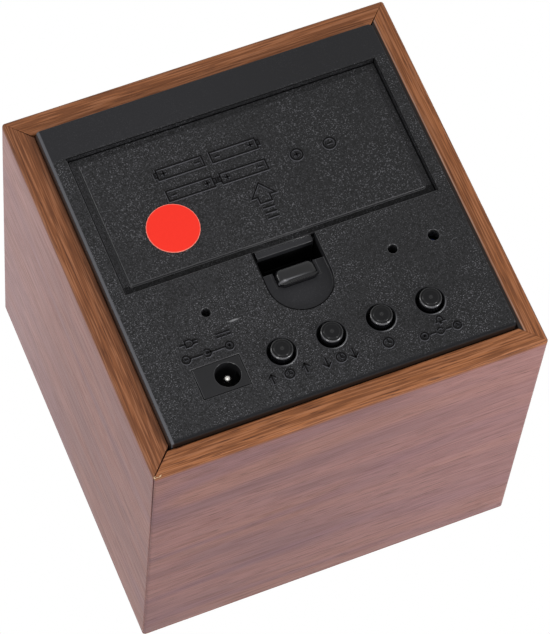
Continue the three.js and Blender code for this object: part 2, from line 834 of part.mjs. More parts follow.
function switchBody(x) {
  const width = around(x, switchWidth);
  const height = around(buttonRowHeight, switchWidth);
  const body = solidOf(block(width, [boardBackY, boardBackY + switchHeight], height));
  const room = [boardBackY + switchFloor, boardBackY + switchHeight + cutOver];
  return surfaceOf(cut(body, [rod(switchWell, room, x, buttonRowHeight, roundSides)]));
}

function switchCover(x) {
  const y = [boardBackY + switchHeight, boardBackY + switchHeight + switchCoverThickness];
  const cover = solidOf(block(around(x, switchWidth), y, around(buttonRowHeight, switchWidth)));
  const through = [y[0] - cutOver, y[1] + cutOver];
  return surfaceOf(cut(cover, [rod(switchCoverHole, through, x, buttonRowHeight, roundSides)]));
}

// Supply socket
function jackBody() {
  const body = solidOf(block(
    around(jackCentreX, jackWidth),
    [plateOuterY - jackDepth, plateOuterY],
    around(jackCentreHeight, jackHeight),
  ));
  const floorY = plateOuterY - jackDepth + jackBackWall;
  const channelX = jackBoreX - jackBoreDiameter / 2;
  return surfaceOf(cut(body, [
    rod(jackBoreDiameter, [floorY, plateOuterY + cutOver], jackBoreX, jackCentreHeight, seenSides),
    block(
      [channelX - jackChannelDepth + jackChannelGap, jackBoreX - jackPinDiameter],
      [floorY, plateOuterY - jackContactInset + jackChannelGap],
      around(jackCentreHeight, jackContactWidth + 2 * jackChannelGap),
    ),
  ]));
}

function jackPin() {
  const floorY = plateOuterY - jackDepth + jackBackWall;
  const tipY = plateOuterY - jackPinInset;
  return turnedAlongY([
    [0, floorY],
    [jackPinDiameter / 2, floorY],
    [jackPinDiameter / 2, tipY - jackPinTipRadius],
    [jackPinDiameter / 2 - jackPinTipRadius * jackPinTipShare, tipY - jackPinTipRadius * jackPinTipShare],
    [jackPinDiameter / 2 - jackPinTipRadius, tipY],
    [0, tipY],
  ], jackBoreX, jackCentreHeight, roundSides);
}

function jackContact() {
  const wallX = jackBoreX - jackBoreDiameter / 2 - jackChannelDepth + 2 * jackChannelGap;
  const low = plateOuterY - jackDepth + jackBackWall + touchGap;
  const high = plateOuterY - jackContactInset;
  const bow = (share) => wallX + jackContactBow * Math.sin(Math.PI * share);
  const near = jackContactShares.map((share) => [bow(share), low + (high - low) * share]);
  const far = near.map(([x, y]) => [x + jackContactThickness, y]).reverse();
  return new THREE.ExtrudeGeometry(outlineOf([...near, ...far]), {
    depth: jackContactWidth,
    bevelEnabled: false,
  }).translate(0, 0, jackCentreHeight - jackContactWidth / 2);
}

// Button board and what stands on it
function buttonBoard() {
  const y = [boardFrontY, boardBackY];
  const over = [boardFrontY - cutOver, boardBackY + cutOver];
  const plate = solidOf(block(around(plateOffset, 2 * boardHalfWidth), y, [boardBottom, boardTop]));
  const wellRoom = block(
    around(0, pocketWidth + 2 * (wellWall + boardCutGap)),
    over,
    [notchBottom - wellWall - boardCutGap, boardTop + cutOver],
  );
  const jackRoom = block(
    around(jackCentreX, jackWidth + 2 * boardCutGap),
    over,
    around(jackCentreHeight, jackHeight + 2 * boardCutGap),
  );
  const holes = postPlaces().map(([x, z]) => rod(screwHoleDiameter, over, x, z, smallSides));
  return surfaceOf(cut(plate, [wellRoom, jackRoom, ...holes]));
}

function boardScrew(x, z) {
  const headFrontY = boardFrontY - screwHeadHeight;
  const profile = turnedAlongY([
    [0, headFrontY],
    [screwHeadDiameter / 2 - screwHeadHeight / 2, headFrontY],
    [screwHeadDiameter / 2, headFrontY + screwHeadHeight / 2],
    [screwHeadDiameter / 2, boardFrontY],
    [screwDiameter / 2, boardFrontY],
    [screwDiameter / 2, boardFrontY + screwLength - screwDiameter / 2],
    [0, boardFrontY + screwLength],
  ], x, z, smallSides);
  const depth = [headFrontY - cutOver, headFrontY + crossDepth];
  return surfaceOf(cut(solidOf(profile), [
    block(around(x, crossLength), depth, around(z, crossWidth)),
    block(around(x, crossWidth), depth, around(z, crossLength)),
  ]));
}

const soundCan = (x, diameter, height, port) => turnedAlongY([
  [0, boardBackY],
  [diameter / 2, boardBackY],
  [diameter / 2, boardBackY + height],
  [port / 2, boardBackY + height],
  [port / 2, boardBackY + height - portDepth],
  [0, boardBackY + height - portDepth],
], x, smallHoleHeight, roundSides);

function temperatureSensor() {
  const low = boardBackY + sensorStandoff;
  const profile = sensorRadiusShares.map((share, index) => [
    share * sensorDiameter / 2,
    low + sensorHeight * sensorHeightShares[index],
  ]);
  const bead = turnedAlongY(profile, sensorHoleX, smallHoleHeight, smallSides);
  const legs = [-1, 1].map((side) => rod(
    sensorLegDiameter,
    [boardBackY, low + sensorStandoff],
    sensorHoleX + side * sensorLegSpacing / 2,
    smallHoleHeight,
    wireSides,
  ));
  return surfaceOf(joined([bead, ...legs]));
}

// Cells, contacts and springs, along X with each cell's nub at +X before it is turned
function cell() {
  const radius = cellDiameter / 2;
  const shoulder = cellLength / 2 - nubHeight;
  return turnedAlongX([
    [0, -cellLength / 2],
    [radius - cellEdgeRound, -cellLength / 2],
    [radius, cellEdgeRound - cellLength / 2],
    [radius, shoulder - cellEdgeRound],
    [radius - cellEdgeRound, shoulder],
    [nubDiameter / 2, shoulder],
    [nubDiameter / 2, cellLength / 2],
    [0, cellLength / 2],
  ], roundSides);
}

function contactPlate(y, z) {
  return block([-contactThickness, 0], y, z);
}

function bump(y, z) {
  return turnedAlongX([
    [0, -contactThickness / 2],
    [bumpDiameter / 2, -contactThickness / 2],
    [bumpDiameter / 2, 0],
    [bumpDiameter / 4, bumpHeight],
    [0, bumpHeight],
  ], smallSides).translate(0, y, z);
}

class ConeCoil extends THREE.Curve {
  getPoint(share, target = new THREE.Vector3()) {
    const angle = 2 * Math.PI * springTurns * share;
    const radius = springBaseRadius + (springTipRadius - springBaseRadius) * share;
    const rise = springWire / 2 + (springLength - springWire) * share;
    return target.set(rise, radius * Math.cos(angle), radius * Math.sin(angle));
  }
}

function ringOutline(radius, sides) {
  const points = [];
  for (let i = 0; i < sides; i += 1) {
    const angle = (2 * Math.PI * i) / sides;
    points.push([radius * Math.cos(angle), radius * Math.sin(angle)]);
  }
  return outlineOf(points);
}

function coilSpring() {
  return new THREE.ExtrudeGeometry(ringOutline(springWire / 2, springSides), {
    steps: springTurns * springStepsPerTurn,
    extrudePath: new ConeCoil(),
  });
}

function leastCoilGap() {
  const steps = springTurns * springStepsPerTurn * 4;
  const points = new ConeCoil().getPoints(steps);
  const oneTurn = springStepsPerTurn * 4;
  let least = Infinity;
  for (let i = 0; i <= steps; i += 1) {
    for (let j = i + oneTurn / 2; j <= steps; j += 1) {
      least = Math.min(least, points[i].distanceTo(points[j]));
    }
  }
  return least - springWire;
}

function addBattery(parent) {
  const low = lowerCellZ;
  const high = upperCellZ;
  const half = contactWidth / 2;
  const gapAtEnd = compartmentLength / 2 - contactPlay;
  const nubX = contactFaceX - bumpHeight - touchGap;
  const single = (y, z) => [[y - half, y + half], [z - half, z + half]];
  const layers = [innerCellY - half, outerCellY + half];
  const rows = [low - half, high + half];
  const tabZ = [compartmentBottom - compartmentWall - tabReach, low];
  const tab = (y) => block([-contactThickness, 0], around(y, tabWidth), tabZ);
  // Name, end of the compartment, plate extent, bumps and whether the plate has a tab
  const contacts = [
    ['battery_contact_positive', 1, single(outerCellY, low), [[outerCellY, low]], outerCellY],
    ['battery_contact_negative', 1, single(innerCellY, low), [], innerCellY],
    ['battery_contact_bridge_upper', 1, [layers, [high - half, high + half]], [[innerCellY, high]], null],
    ['battery_contact_bridge_outer', -1, [around(outerCellY, 2 * half), rows], [[outerCellY, high]], null],
    ['battery_contact_bridge_inner', -1, [around(innerCellY, 2 * half), rows], [[innerCellY, low]], null],
  ];
  for (const [name, end, [y, z], bumps, tabY] of contacts) {
    const parts = [contactPlate(y, z), ...bumps.map(([bumpY, bumpZ]) => bump(bumpY, bumpZ))];
    if (tabY !== null) parts.push(tab(tabY));
    const geometry = joined(parts).translate([contactThickness - gapAtEnd, 0, 0]);
    const whole = end < 0 ? geometry : geometry.mirror([1, 0, 0]);
    piece(name, surfaceOf(whole), 'nickel', parent);
  }
  // Cell number, layer, row and the end that its nub points to
  const cells = [
    [outerCellY, low, 1],
    [outerCellY, high, -1],
    [innerCellY, high, 1],
    [innerCellY, low, -1],
  ];
  cells.forEach(([y, z, end], index) => {
    const body = piece(`battery_cell_${index + 1}`, closedSurface(cell()), 'cellShell', parent);
    body.position.set(end * (nubX - cellLength / 2), y, z);
    if (end < 0) body.rotation.z = Math.PI;
    const spring = piece(`battery_spring_${index + 1}`, closedSurface(coilSpring()), 'nickel', parent);
    spring.position.set(-end * contactFaceX, y, z);
    if (end < 0) spring.rotation.z = Math.PI;
  });
}

// Leads and ribbon
function alongPath(points, outline, steps) {
  const path = new THREE.CatmullRomCurve3(points.map(([x, y, z]) => new THREE.Vector3(x, y, z)));
  return new THREE.ExtrudeGeometry(outline, { steps, extrudePath: path });
}

function batteryLead(tabY, endX, endZ) {
  const x = compartmentLength / 2 - contactPlay - contactThickness / 2;
  const z = compartmentBottom - compartmentWall - tabReach / 2;
  const startY = tabY - tabWidth / 2 - leadGap;
  const endY = boardFrontY - leadGap;
  const loop = screwHeadDiameter;
  return alongPath([
    [x, startY, z],
    [x, startY - leadDiameter, z],
    [x - leadDiameter, Math.min(startY, endY) - loop, (z + endZ) / 2],
    [endX, endY - loop, endZ],
    [endX, endY - leadDiameter, endZ],
    [endX, endY, endZ],
  ], ringOutline(leadDiameter / 2, wireSides), leadSteps);
}

function ribbonCable(zStart, zEnd) {
  const start = boardFrontY - leadGap;
  const end = mainBoardBackY + leadGap;
  const run = start - end;
  const path = new THREE.CatmullRomCurve3(ribbonRunShares.map((share, index) => new THREE.Vector3(
    start - run * share,
    zStart + (zEnd - zStart) * share - ribbonBoardHeight * ribbonDropShares[index],
    0,
  )));
  const edge = (side) => {
    const points = [];
    for (let i = 0; i <= ribbonSteps; i += 1) {
      const at = path.getPoint(i / ribbonSteps);
      const along = path.getTangent(i / ribbonSteps);
      points.push([at.x - side * along.y * ribbonThickness / 2, at.y + side * along.x * ribbonThickness / 2]);
    }
    return points;
  };
  const across = around(ribbonInset - boardHalfWidth, ribbonWidth);
  return pressedAlongX(outlineOf([...edge(1), ...edge(-1).reverse()]), across);
}

// Display, behind the front film
function strokeOutline(x, z, length, upright) {
  const half = digitStroke / 2;
  const reach = length / 2 - strokeGap / 2;
  const along = [
    [-reach, 0],
    [half - reach, half],
    [reach - half, half],
    [reach, 0],
    [reach - half, -half],
    [half - reach, -half],
  ];
  return along.map(([a, b]) => (upright ? [x - b, z + a] : [x + a, z + b]));
}

function digitStrokes(x) {
  const side = (digitWidth - digitStroke) / 2;
  const quarter = (digitHeight - digitStroke) / 4;
  const strokes = [-2, 0, 2].map((row) => strokeOutline(x, row * quarter, 2 * side, false));
  for (const column of [-1, 1]) {
    for (const row of [-1, 1]) {
      strokes.push(strokeOutline(x + column * side, row * quarter, 2 * quarter, true));
    }
  }
  return strokes;
}

function displayStrokes() {
  const strokes = [];
  for (let i = 0; i < digitCount; i += 1) {
    strokes.push(...digitStrokes((i - (digitCount - 1) / 2) * digitPitch));
  }
  const half = colonSide / 2;
  for (const row of [-1, 1]) {
    const z = row * colonSpacing / 2;
    strokes.push([[-half, z - half], [half, z - half], [half, z + half], [-half, z + half]]);
  }
  return strokes;
}

function strokeSolids(grow, y) {
  return displayStrokes().map((points) => {
    const places = points.map(([x, z]) => new THREE.Vector2(x, z));
    const sum = places.reduce((whole, place) => whole.add(place), new THREE.Vector2());
    const middle = sum.divideScalar(points.length);
    const grown = places.map((place) => {
      const away = place.sub(middle);
      away.setLength(away.length() + grow).add(middle);
      return [away.x + digitLean * away.y, away.y];
    });
    return pressedAlongY(outlineOf(grown), y);
  });
}

function displayBody() {
  const depth = [displayFaceY, mainBoardFrontY];
  const body = solidOf(block(around(0, displayWidth), depth, around(0, displayHeight)));
  const room = block(
    around(0, displayWidth - 2 * displayWall),
    [displayFaceY + displayFace, mainBoardFrontY + cutOver],
    around(0, displayHeight - 2 * displayWall),
  );
  const through = [displayFaceY - cutOver, displayFaceY + displayFace + touchGap];
  return surfaceOf(cut(body, [room, ...strokeSolids(lightGap, through)]));
}

function displayLights() {
  const low = displayFaceY + displayFace + touchGap;
  const depth = [low, low + lightPlateThickness];
  const plate = block(around(0, lightPlateWidth), depth, around(0, lightPlateHeight));
  return surfaceOf(joined([plate, ...strokeSolids(0, [displayFaceY, low + touchGap])]));
}

function mainBoard() {
  const y = [mainBoardFrontY, mainBoardBackY];
  const plate = solidOf(block(around(0, mainBoardWidth), y, around(0, mainBoardHeight)));
  const over = [y[0] - cutOver, y[1] + cutOver];
  const holes = supportPlaces().map(([x, z]) => rod(supportHoleDiameter, over, x, z, smallSides));
  return surfaceOf(cut(plate, holes));
}

function supportPlaces() {
  const x = mainBoardWidth / 2 - supportInset;
  const z = mainBoardHeight / 2 - supportInset;
  return [[-x, -z], [x, -z], [-x, z], [x, z]];
}

function boardSupport(x, z) {
  return turnedAlongY([
    [0, frontInnerY],
    [supportFootDiameter / 2, frontInnerY],
    [supportFootDiameter / 2, frontInnerY + supportFootHeight],
    [supportBodyDiameter / 2, frontInnerY + supportFootHeight],
    [supportBodyDiameter / 2, mainBoardFrontY],
    [supportNeckDiameter / 2, mainBoardFrontY],
    [supportNeckDiameter / 2, mainBoardBackY],
    [supportHeadDiameter / 2, mainBoardBackY],
    [supportNeckDiameter / 2, mainBoardBackY + supportHeadHeight],
    [0, mainBoardBackY + supportHeadHeight],
  ], x, z, smallSides);
}

// Leg of a chip, seen along X, from inside the body down to its foot on the board
function chipLeg(edge, side) {
  const shelf = mainBoardBackY + chipStandoff + chipHeight / 2;
  const foot = mainBoardBackY + chipGap;
  const bend = edge + side * chipLegThickness;
  const shin = bend + side * chipLegThickness;
  const toe = edge + side * chipLegReach;
  return outlineOf([
    [shelf, edge - side * chipLegThickness],
    [shelf, bend],
    [foot, bend],
    [foot, toe],
    [foot + chipLegThickness, toe],
    [foot + chipLegThickness, shin],
    [shelf + chipLegThickness, shin],
    [shelf + chipLegThickness, edge - side * chipLegThickness],
  ]);
}

function chip(length, legs, z) {
  const low = mainBoardBackY + chipStandoff;
  const parts = [block(around(0, length), [low, low + chipHeight], around(z, chipBodyWidth))];
  for (let i = 0; i < legs; i += 1) {
    const x = around((i - (legs - 1) / 2) * chipLegPitch, chipLegWidth);
    for (const side of [-1, 1]) parts.push(pressedAlongX(chipLeg(z + side * chipBodyWidth / 2, side), x));
  }
  return surfaceOf(joined(parts));
}

function timingCrystal() {
  const radius = crystalDiameter / 2;
  return turnedAlongX([
    [0, -crystalLength / 2],
    [radius, -crystalLength / 2],
    [radius, crystalLength / 2 - radius / 2],
    [radius / 2, crystalLength / 2],
    [0, crystalLength / 2],
  ], smallSides).translate(crystalInset - mainBoardWidth / 2, mainBoardBackY + radius + chipGap, crystalRise);
}

function smoothingCapacitor() {
  const radius = capacitorDiameter / 2;
  const low = mainBoardBackY + chipGap;
  return turnedAlongY([
    [0, low],
    [radius, low],
    [radius, low + capacitorGroove],
    [radius - capacitorGroove, low + 2 * capacitorGroove],
    [radius, low + 3 * capacitorGroove],
    [radius, low + capacitorHeight],
    [0, low + capacitorHeight],
  ], mainBoardWidth / 2 - capacitorInset, capacitorRise, smallSides);
}

// Assembly
function addBack(parent) {
  const back = new THREE.Group();
  back.position.set(-housingShift - plateOffset, 0, boardThickness + housingTopGap);
  parent.add(back);
  piece('rear_housing', rearHousing(), 'blackPlastic', back);
  piece('battery_door', batteryDoor(), 'blackPlastic', back);
  piece('door_latch', doorLatch(), 'blackPlastic', back);
  piece('red_sticker', closedSurface(redSticker()), 'redPaper', back);
  for (let i = 0; i < buttonCount; i += 1) {
    const x = buttonX(i);
    piece(`button_plunger_${i + 1}`, closedSurface(buttonPlunger(x)), 'buttonPlastic', back);
    piece(`switch_body_${i + 1}`, switchBody(x), 'chipPlastic', back);
    piece(`switch_cover_${i + 1}`, switchCover(x), 'steel', back);
  }
  piece('jack_body', jackBody(), 'blackPlastic', back);
  piece('jack_pin', closedSurface(jackPin()), 'nickel', back);
  piece('jack_contact', closedSurface(jackContact()), 'nickel', back);
  piece('button_board', buttonBoard(), 'circuitBoard', back);
  postPlaces().forEach(([x, z], index) => {
    piece(`board_screw_${index + 1}`, boardScrew(x, z), 'steel', back);
  });
  const buzzer = soundCan(buzzerHoleX, buzzerDiameter, buzzerHeight, buzzerPortDiameter);
  const microphone = soundCan(microphoneHoleX, microphoneDiameter, microphoneHeight, microphonePortDiameter);
  piece('buzzer', closedSurface(buzzer), 'chipPlastic', back);
  piece('microphone', closedSurface(microphone), 'steel', back);
  piece('temperature_sensor', temperatureSensor(), 'sensorResin', back);
  addBattery(back);
  const leadX = jackCentreX + jackWidth / 2;
  const redLead = batteryLead(outerCellY, leadX, smallHoleHeight);
  const blackLead = batteryLead(innerCellY, leadX - screwHeadDiameter, smallHoleHeight - screwHeadDiameter);
  piece('battery_lead_red', closedSurface(redLead), 'redLead', back);
  piece('battery_lead_black', closedSurface(blackLead), 'blackLead', back);
}

function addDisplay(parent) {
  const front = new THREE.Group();
  front.position.z = caseHeight / 2;
  parent.add(front);
  piece('display_body', displayBody(), 'displayPlastic', front);
  piece('display_lights', displayLights(), 'lightPlastic', front);
  piece('main_board', mainBoard(), 'circuitBoard', front);
  supportPlaces().forEach(([x, z], index) => {
    piece(`board_support_${index + 1}`, closedSurface(boardSupport(x, z)), 'nylon', front);
  });
  piece('controller_chip', chip(controllerLength, controllerLegCount, -chipRowOffset), 'chipPlastic', front);
  piece('driver_chip', chip(driverLength, driverLegCount, chipRowOffset), 'chipPlastic', front);
  piece('timing_crystal', closedSurface(timingCrystal()), 'nickel', front);
  piece('smoothing_capacitor', closedSurface(smoothingCapacitor()), 'sleeve', front);
}

function addRibbon(parent) {
  const start = boardThickness + housingTopGap + ribbonHeight;
  const end = caseHeight / 2 - mainBoardHeight / 2 + ribbonBoardHeight;
  piece('ribbon_cable', closedSurface(ribbonCable(start, end)), 'greyRibbon', parent);
}

const clock = new THREE.Group();
clock.name = 'wooden_alarm_clock';
addCase(clock);
addBack(clock);
addDisplay(clock);
addRibbon(clock);
console.log(`least gap between spring coils: ${leastCoilGap().toFixed(2)} mm`);

export default clock;
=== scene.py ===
import json
import math

import bmesh
import bpy
import numpy as np
from mathutils import Matrix, Vector


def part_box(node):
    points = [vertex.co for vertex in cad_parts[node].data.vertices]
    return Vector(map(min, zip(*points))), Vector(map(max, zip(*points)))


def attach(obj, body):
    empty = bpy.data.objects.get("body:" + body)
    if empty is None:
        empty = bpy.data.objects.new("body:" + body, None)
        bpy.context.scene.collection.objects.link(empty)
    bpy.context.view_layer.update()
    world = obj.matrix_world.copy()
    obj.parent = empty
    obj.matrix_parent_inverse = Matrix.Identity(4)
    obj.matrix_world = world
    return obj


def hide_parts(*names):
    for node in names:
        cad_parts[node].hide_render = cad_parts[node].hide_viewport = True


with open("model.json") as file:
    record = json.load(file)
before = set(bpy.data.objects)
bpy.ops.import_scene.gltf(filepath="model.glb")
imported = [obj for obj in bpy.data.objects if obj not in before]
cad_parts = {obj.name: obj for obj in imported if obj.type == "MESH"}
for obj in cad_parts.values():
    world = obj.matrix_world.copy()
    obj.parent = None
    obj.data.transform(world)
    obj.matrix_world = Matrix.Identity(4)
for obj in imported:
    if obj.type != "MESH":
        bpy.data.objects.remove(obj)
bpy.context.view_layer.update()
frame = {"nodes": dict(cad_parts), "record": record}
nodes = frame["nodes"]
mm = 0.001


def linked(name, data):
    made = bpy.data.objects.new(name, data)
    bpy.context.scene.collection.objects.link(made)
    return made


# Camera: it looks at the clock's back from below, as the photograph does
cameraSetup = {
    "place": (0.12298, 0.51097, -0.19458),
    "forward": (-0.21885, -0.89230, 0.39484),
    "down": (0.31644, -0.44768, -0.83633),
    "lens": 206.54,
    "nearEnd": 0.01,
}


def addCamera(setup):
    forward = Vector(setup["forward"]).normalized()
    right = forward.cross(-Vector(setup["down"])).normalized()
    turn = Matrix((right, right.cross(forward), -forward)).transposed().to_4x4()
    data = bpy.data.cameras.new("camera")
    data.lens = setup["lens"]
    data.clip_start = setup["nearEnd"]
    camera = linked("camera", data)
    camera.matrix_world = Matrix.Translation(setup["place"]) @ turn
    bpy.context.scene.camera = camera


addCamera(cameraSetup)
print("camera placed")


# Shader maths: a Link is a node's output, and sums and products of links add Math nodes
def mathMethod(operation, reflected=False):
    def method(self, other=0.0):
        first, second = (other, self) if reflected else (self, other)
        return self.graph.node("ShaderNodeMath", {"operation": operation}, {0: first, 1: second})

    return method


class Link:
    def __init__(self, graph, socket):
        self.graph = graph
        self.socket = socket

    __add__ = mathMethod("ADD")
    __radd__ = mathMethod("ADD", reflected=True)
    __sub__ = mathMethod("SUBTRACT")
    __rsub__ = mathMethod("SUBTRACT", reflected=True)
    __mul__ = mathMethod("MULTIPLY")
    __rmul__ = mathMethod("MULTIPLY", reflected=True)
    __abs__ = mathMethod("ABSOLUTE")
    atLeast = mathMethod("MAXIMUM")
    atMost = mathMethod("MINIMUM")


class Graph:
    def __init__(self, tree):
        self.tree = tree
        tree.nodes.clear()

    def node(self, kind, settings=None, inputs=None, output=0):
        made = self.tree.nodes.new(kind)
        for key, value in (settings or {}).items():
            setattr(made, key, value)
        for key, value in (inputs or {}).items():
            self.feed(made.inputs[key], value)
        return Link(self, made.outputs[output]) if made.outputs else made

    def feed(self, socket, value):
        if isinstance(value, Link):
            self.tree.links.new(value.socket, socket)
        else:
            socket.default_value = value


class Finish(Graph):
    # a material with one Principled shader, whose constants are given by the sockets' names
    def __init__(self, name, **constants):
        self.material = bpy.data.materials.new(name)
        self.material.use_nodes = True
        super().__init__(self.material.node_tree)
        self.place = self.node("ShaderNodeTexCoord", output="Object")
        self.shader = self.node("ShaderNodeBsdfPrincipled", inputs=constants)
        self.output = self.node("ShaderNodeOutputMaterial", inputs={"Surface": self.shader})

    def drive(self, **links):
        for key, value in links.items():
            self.feed(self.shader.socket.node.inputs[key.replace("_", " ")], value)

    def mapped(self, scale=(1, 1, 1), turn=(0, 0, 0), shift=(0, 0, 0), vector=None):
        return self.node("ShaderNodeMapping", inputs={
            "Vector": vector or self.place, "Scale": scale, "Rotation": turn, "Location": shift})

    def noise(self, vector=None, scale=1.0, detail=2.0, roughness=0.5, output="Fac"):
        return self.node("ShaderNodeTexNoise", inputs={
            "Vector": vector or self.place, "Scale": scale, "Detail": detail, "Roughness": roughness}, output=output)

    def between(self, value, low, high, start=0.0, end=1.0):
        # start below low, end above high, and a soft step from one to the other
        return self.node("ShaderNodeMapRange", {"interpolation_type": "SMOOTHSTEP"}, {
            "Value": value, "From Min": low, "From Max": high, "To Min": start, "To Max": end})

    def mixed(self, factor, first, second):
        return self.node("ShaderNodeMix", {"data_type": "RGBA"}, {0: factor, 6: first, 7: second}, output=2)

    def layered(self, colour, *layers):
        # each layer is a mask and the colour that it lays over those below
        for mask, over in layers:
            colour = self.mixed(mask, colour, over)
        return colour

    def vectors(self, operation, first, second):
        return self.node("ShaderNodeVectorMath", {"operation": operation}, {0: first, 1: second})

    def length(self, vector):
        return self.node("ShaderNodeVectorMath", {"operation": "LENGTH"}, {0: vector}, output="Value")

    def axis(self, name):
        return self.node("ShaderNodeSeparateXYZ", inputs={0: self.place}, output=name)

    def along(self, axis, steps, start=0.0, end=1.0):
        # the same step over places along one axis
        return self.between(self.axis(axis), *steps, start, end)

    def carried(self, name):
        # a number that the mesh's points carry under this name
        return self.node("ShaderNodeAttribute", {"attribute_name": name}, output="Fac")

    def dressed(self, colour, roughness, height, strength, distance):
        bump = self.node("ShaderNodeBump", output="Normal", inputs={
            "Height": height, "Strength": strength, "Distance": distance})
        self.drive(Base_Color=colour, Roughness=roughness, Normal=bump)
        return self

    def blacken(self, mask):
        # painted shade: deep places, where little light comes, are mixed toward a dead black
        black = self.node("ShaderNodeBsdfDiffuse", inputs={"Color": (0.002, 0.002, 0.002, 1), "Roughness": 0.0})
        mixed = self.node("ShaderNodeMixShader", inputs={0: mask, 1: self.shader, 2: black})
        self.feed(self.output.inputs["Surface"], mixed)


def tone(red, green, blue):
    # a colour as it is seen on a screen, 0 to 255, made linear
    share = np.array([red, green, blue]) / 255
    linear = np.where(share <= 0.04045, share / 12.92, ((share + 0.055) / 1.055) ** 2.4)
    return (*linear.tolist(), 1.0)


def span(start, end):
    # where a soft step starts and where it ends, given in millimetres
    return start * mm, end * mm


# Wood-grain foil: a solid grain drawn out along one axis, so that it follows faces and rims alike. On the
# rims there may be a painted highlight line and painted shades, which lie at these distances from the clock's middle
foilLook = {
    "faceDark": tone(128, 80, 76), "faceLight": tone(146, 92, 82),
    "faceWarm": tone(152, 96, 78), "faceViolet": tone(124, 80, 86),
    "rimDark": tone(130, 78, 44), "rimLight": tone(146, 90, 54), "rimPink": tone(170, 116, 84),
    "pore": tone(66, 32, 16), "highlightTone": tone(182, 152, 136), "shadow": tone(20, 10, 6),
    "faceStreak": 0.14, "faceFibre": 0.22, "faceDash": 0.38,
    "rimFibre": 0.42, "rimDash": 0.3,
    "rimSteps": span(29.0, 30.1),
    "innerEdge": 0.0, "innerHighlight": 28.78 * mm, "innerSteps": span(28.55, 28.7),
    "innerShade": 0.0, "shadeSteps": span(27.5, 28.9),
    "outerSteps": span(31.2, 31.42),
    "paintedLight": ("Z", (0, 1), 0.0), "paintedLightTone": tone(174, 122, 118),
    "waver": 3.0 * mm, "bands": 170, "fibres": 5000, "roughness": 0.4,
}
farLook = foilLook | {"innerEdge": 1.0, "rimLight": tone(153, 95, 57)}
nearLook = foilLook | {
    "rimDark": tone(120, 72, 42),
    "rimLight": tone(136, 83, 50),
    "innerShade": 0.5,
    "paintedLight": ("Z", span(22, 66), 0.5),
    "paintedLightTone": tone(184, 141, 141),
}
undersideLook = foilLook | {
    "paintedLight": ("X", span(12, -36), 0.45),
    "faceDark": tone(124, 83, 84), "faceLight": tone(145, 98, 93),
    "faceWarm": tone(150, 100, 86), "faceViolet": tone(121, 82, 92),
    "rimLight": tone(158, 99, 60), "rimDash": 0.45,
}


def woodFoil(name, turn=(0, 0, 0), shift=(0, 0, 0), look=foilLook):
    foil = Finish(name, **{"IOR": 1.45, "Specular IOR Level": 0.32})
    along = foil.mapped((1, 1, 1), turn, shift)
    push = foil.noise(foil.mapped((14, 60, 60), vector=along), detail=1, output="Color")
    push = foil.vectors("SUBTRACT", push, (0.5, 0.5, 0.5))
    push = foil.vectors("MULTIPLY", push, (0, look["waver"], look["waver"]))
    waved = foil.vectors("ADD", along, push)

    def grain(lengthwise, across, shift=(0, 0, 0), detail=1, roughness=0.5):
        # the lower its lengthwise scale is beside the other, the longer are its shapes along the board
        scaled = foil.mapped((lengthwise, across, across), shift=shift, vector=waved)
        return foil.noise(scaled, detail=detail, roughness=roughness)

    bands, fibres = look["bands"], look["fibres"]
    figure = grain(30, bands, detail=2, roughness=0.55)
    patch = grain(10, bands * 0.4, (3, 1, 2))
    vein = grain(11, bands * 0.3, (5, 9, 4))
    streak = grain(120, fibres * 0.45, (2, 3, 6), detail=2)
    fibre = grain(105, fibres)
    dash = grain(330, fibres, (7, 4, 5))
    outward = abs(foil.axis("X"))
    innerEdge = look["innerEdge"]
    innerHighlight = foil.between(abs(outward - look["innerHighlight"]), *span(0.05, 0.13), innerEdge, 0)
    innerShadow = foil.between(outward, *look["innerSteps"], innerEdge, 0)
    innerShade = foil.between(outward, *look["shadeSteps"], look["innerShade"], 0)
    outerShadow = foil.between(outward, *look["outerSteps"], 0, innerEdge * 0.5)
    streakMask = foil.between(streak, 0.36, 0.66)
    fibreMask = foil.between(fibre, 0.48, 0.57)
    dashMask = foil.between(dash, 0.58, 0.66) * foil.between(figure, 0.35, 0.55, 0.3, 1)
    # painted light: a face turns toward a paler tone along one axis, where more light falls
    paintedLightAxis, paintedLightSteps, paintedLightShare = look["paintedLight"]
    pores = streakMask * look["faceStreak"] + fibreMask * look["faceFibre"] + dashMask * look["faceDash"]
    face = foil.layered(
        look["faceDark"],
        (foil.between(figure, 0.34, 0.66), look["faceLight"]),
        (foil.between(patch, 0.5, 0.68) * 0.7, look["faceWarm"]),
        (foil.between(abs(vein - 0.5), 0.0, 0.06, 1, 0) * 0.6, look["faceViolet"]),
        (foil.along(paintedLightAxis, paintedLightSteps, 0, paintedLightShare), look["paintedLightTone"]),
        (pores, look["pore"]),
    )
    edge = foil.layered(
        look["rimLight"],
        (streakMask, look["rimDark"]),
        (foil.between(fibre, 0.38, 0.46, 0.4, 0), look["rimPink"]),
        (fibreMask * look["rimFibre"] + dashMask * look["rimDash"], look["pore"]),
        # painted shade along the outer edge, a painted highlight line along the inner edge, and painted shadow and
        # shade beside the plate
        (outerShadow, look["pore"]),
        (innerHighlight * (0.3 + streakMask * 0.4), look["highlightTone"]),
        (innerShadow + innerShade, look["shadow"]),
    )
    rim = foil.along("Y", look["rimSteps"])
    roughness = look["roughness"] + fibreMask * 0.08 + rim * 0.16
    pits = 1 - (fibreMask * 0.6 + dashMask * 0.4)
    return foil.dressed(foil.mixed(rim, face, edge), roughness, pits, 0.3, 0.03 * mm)
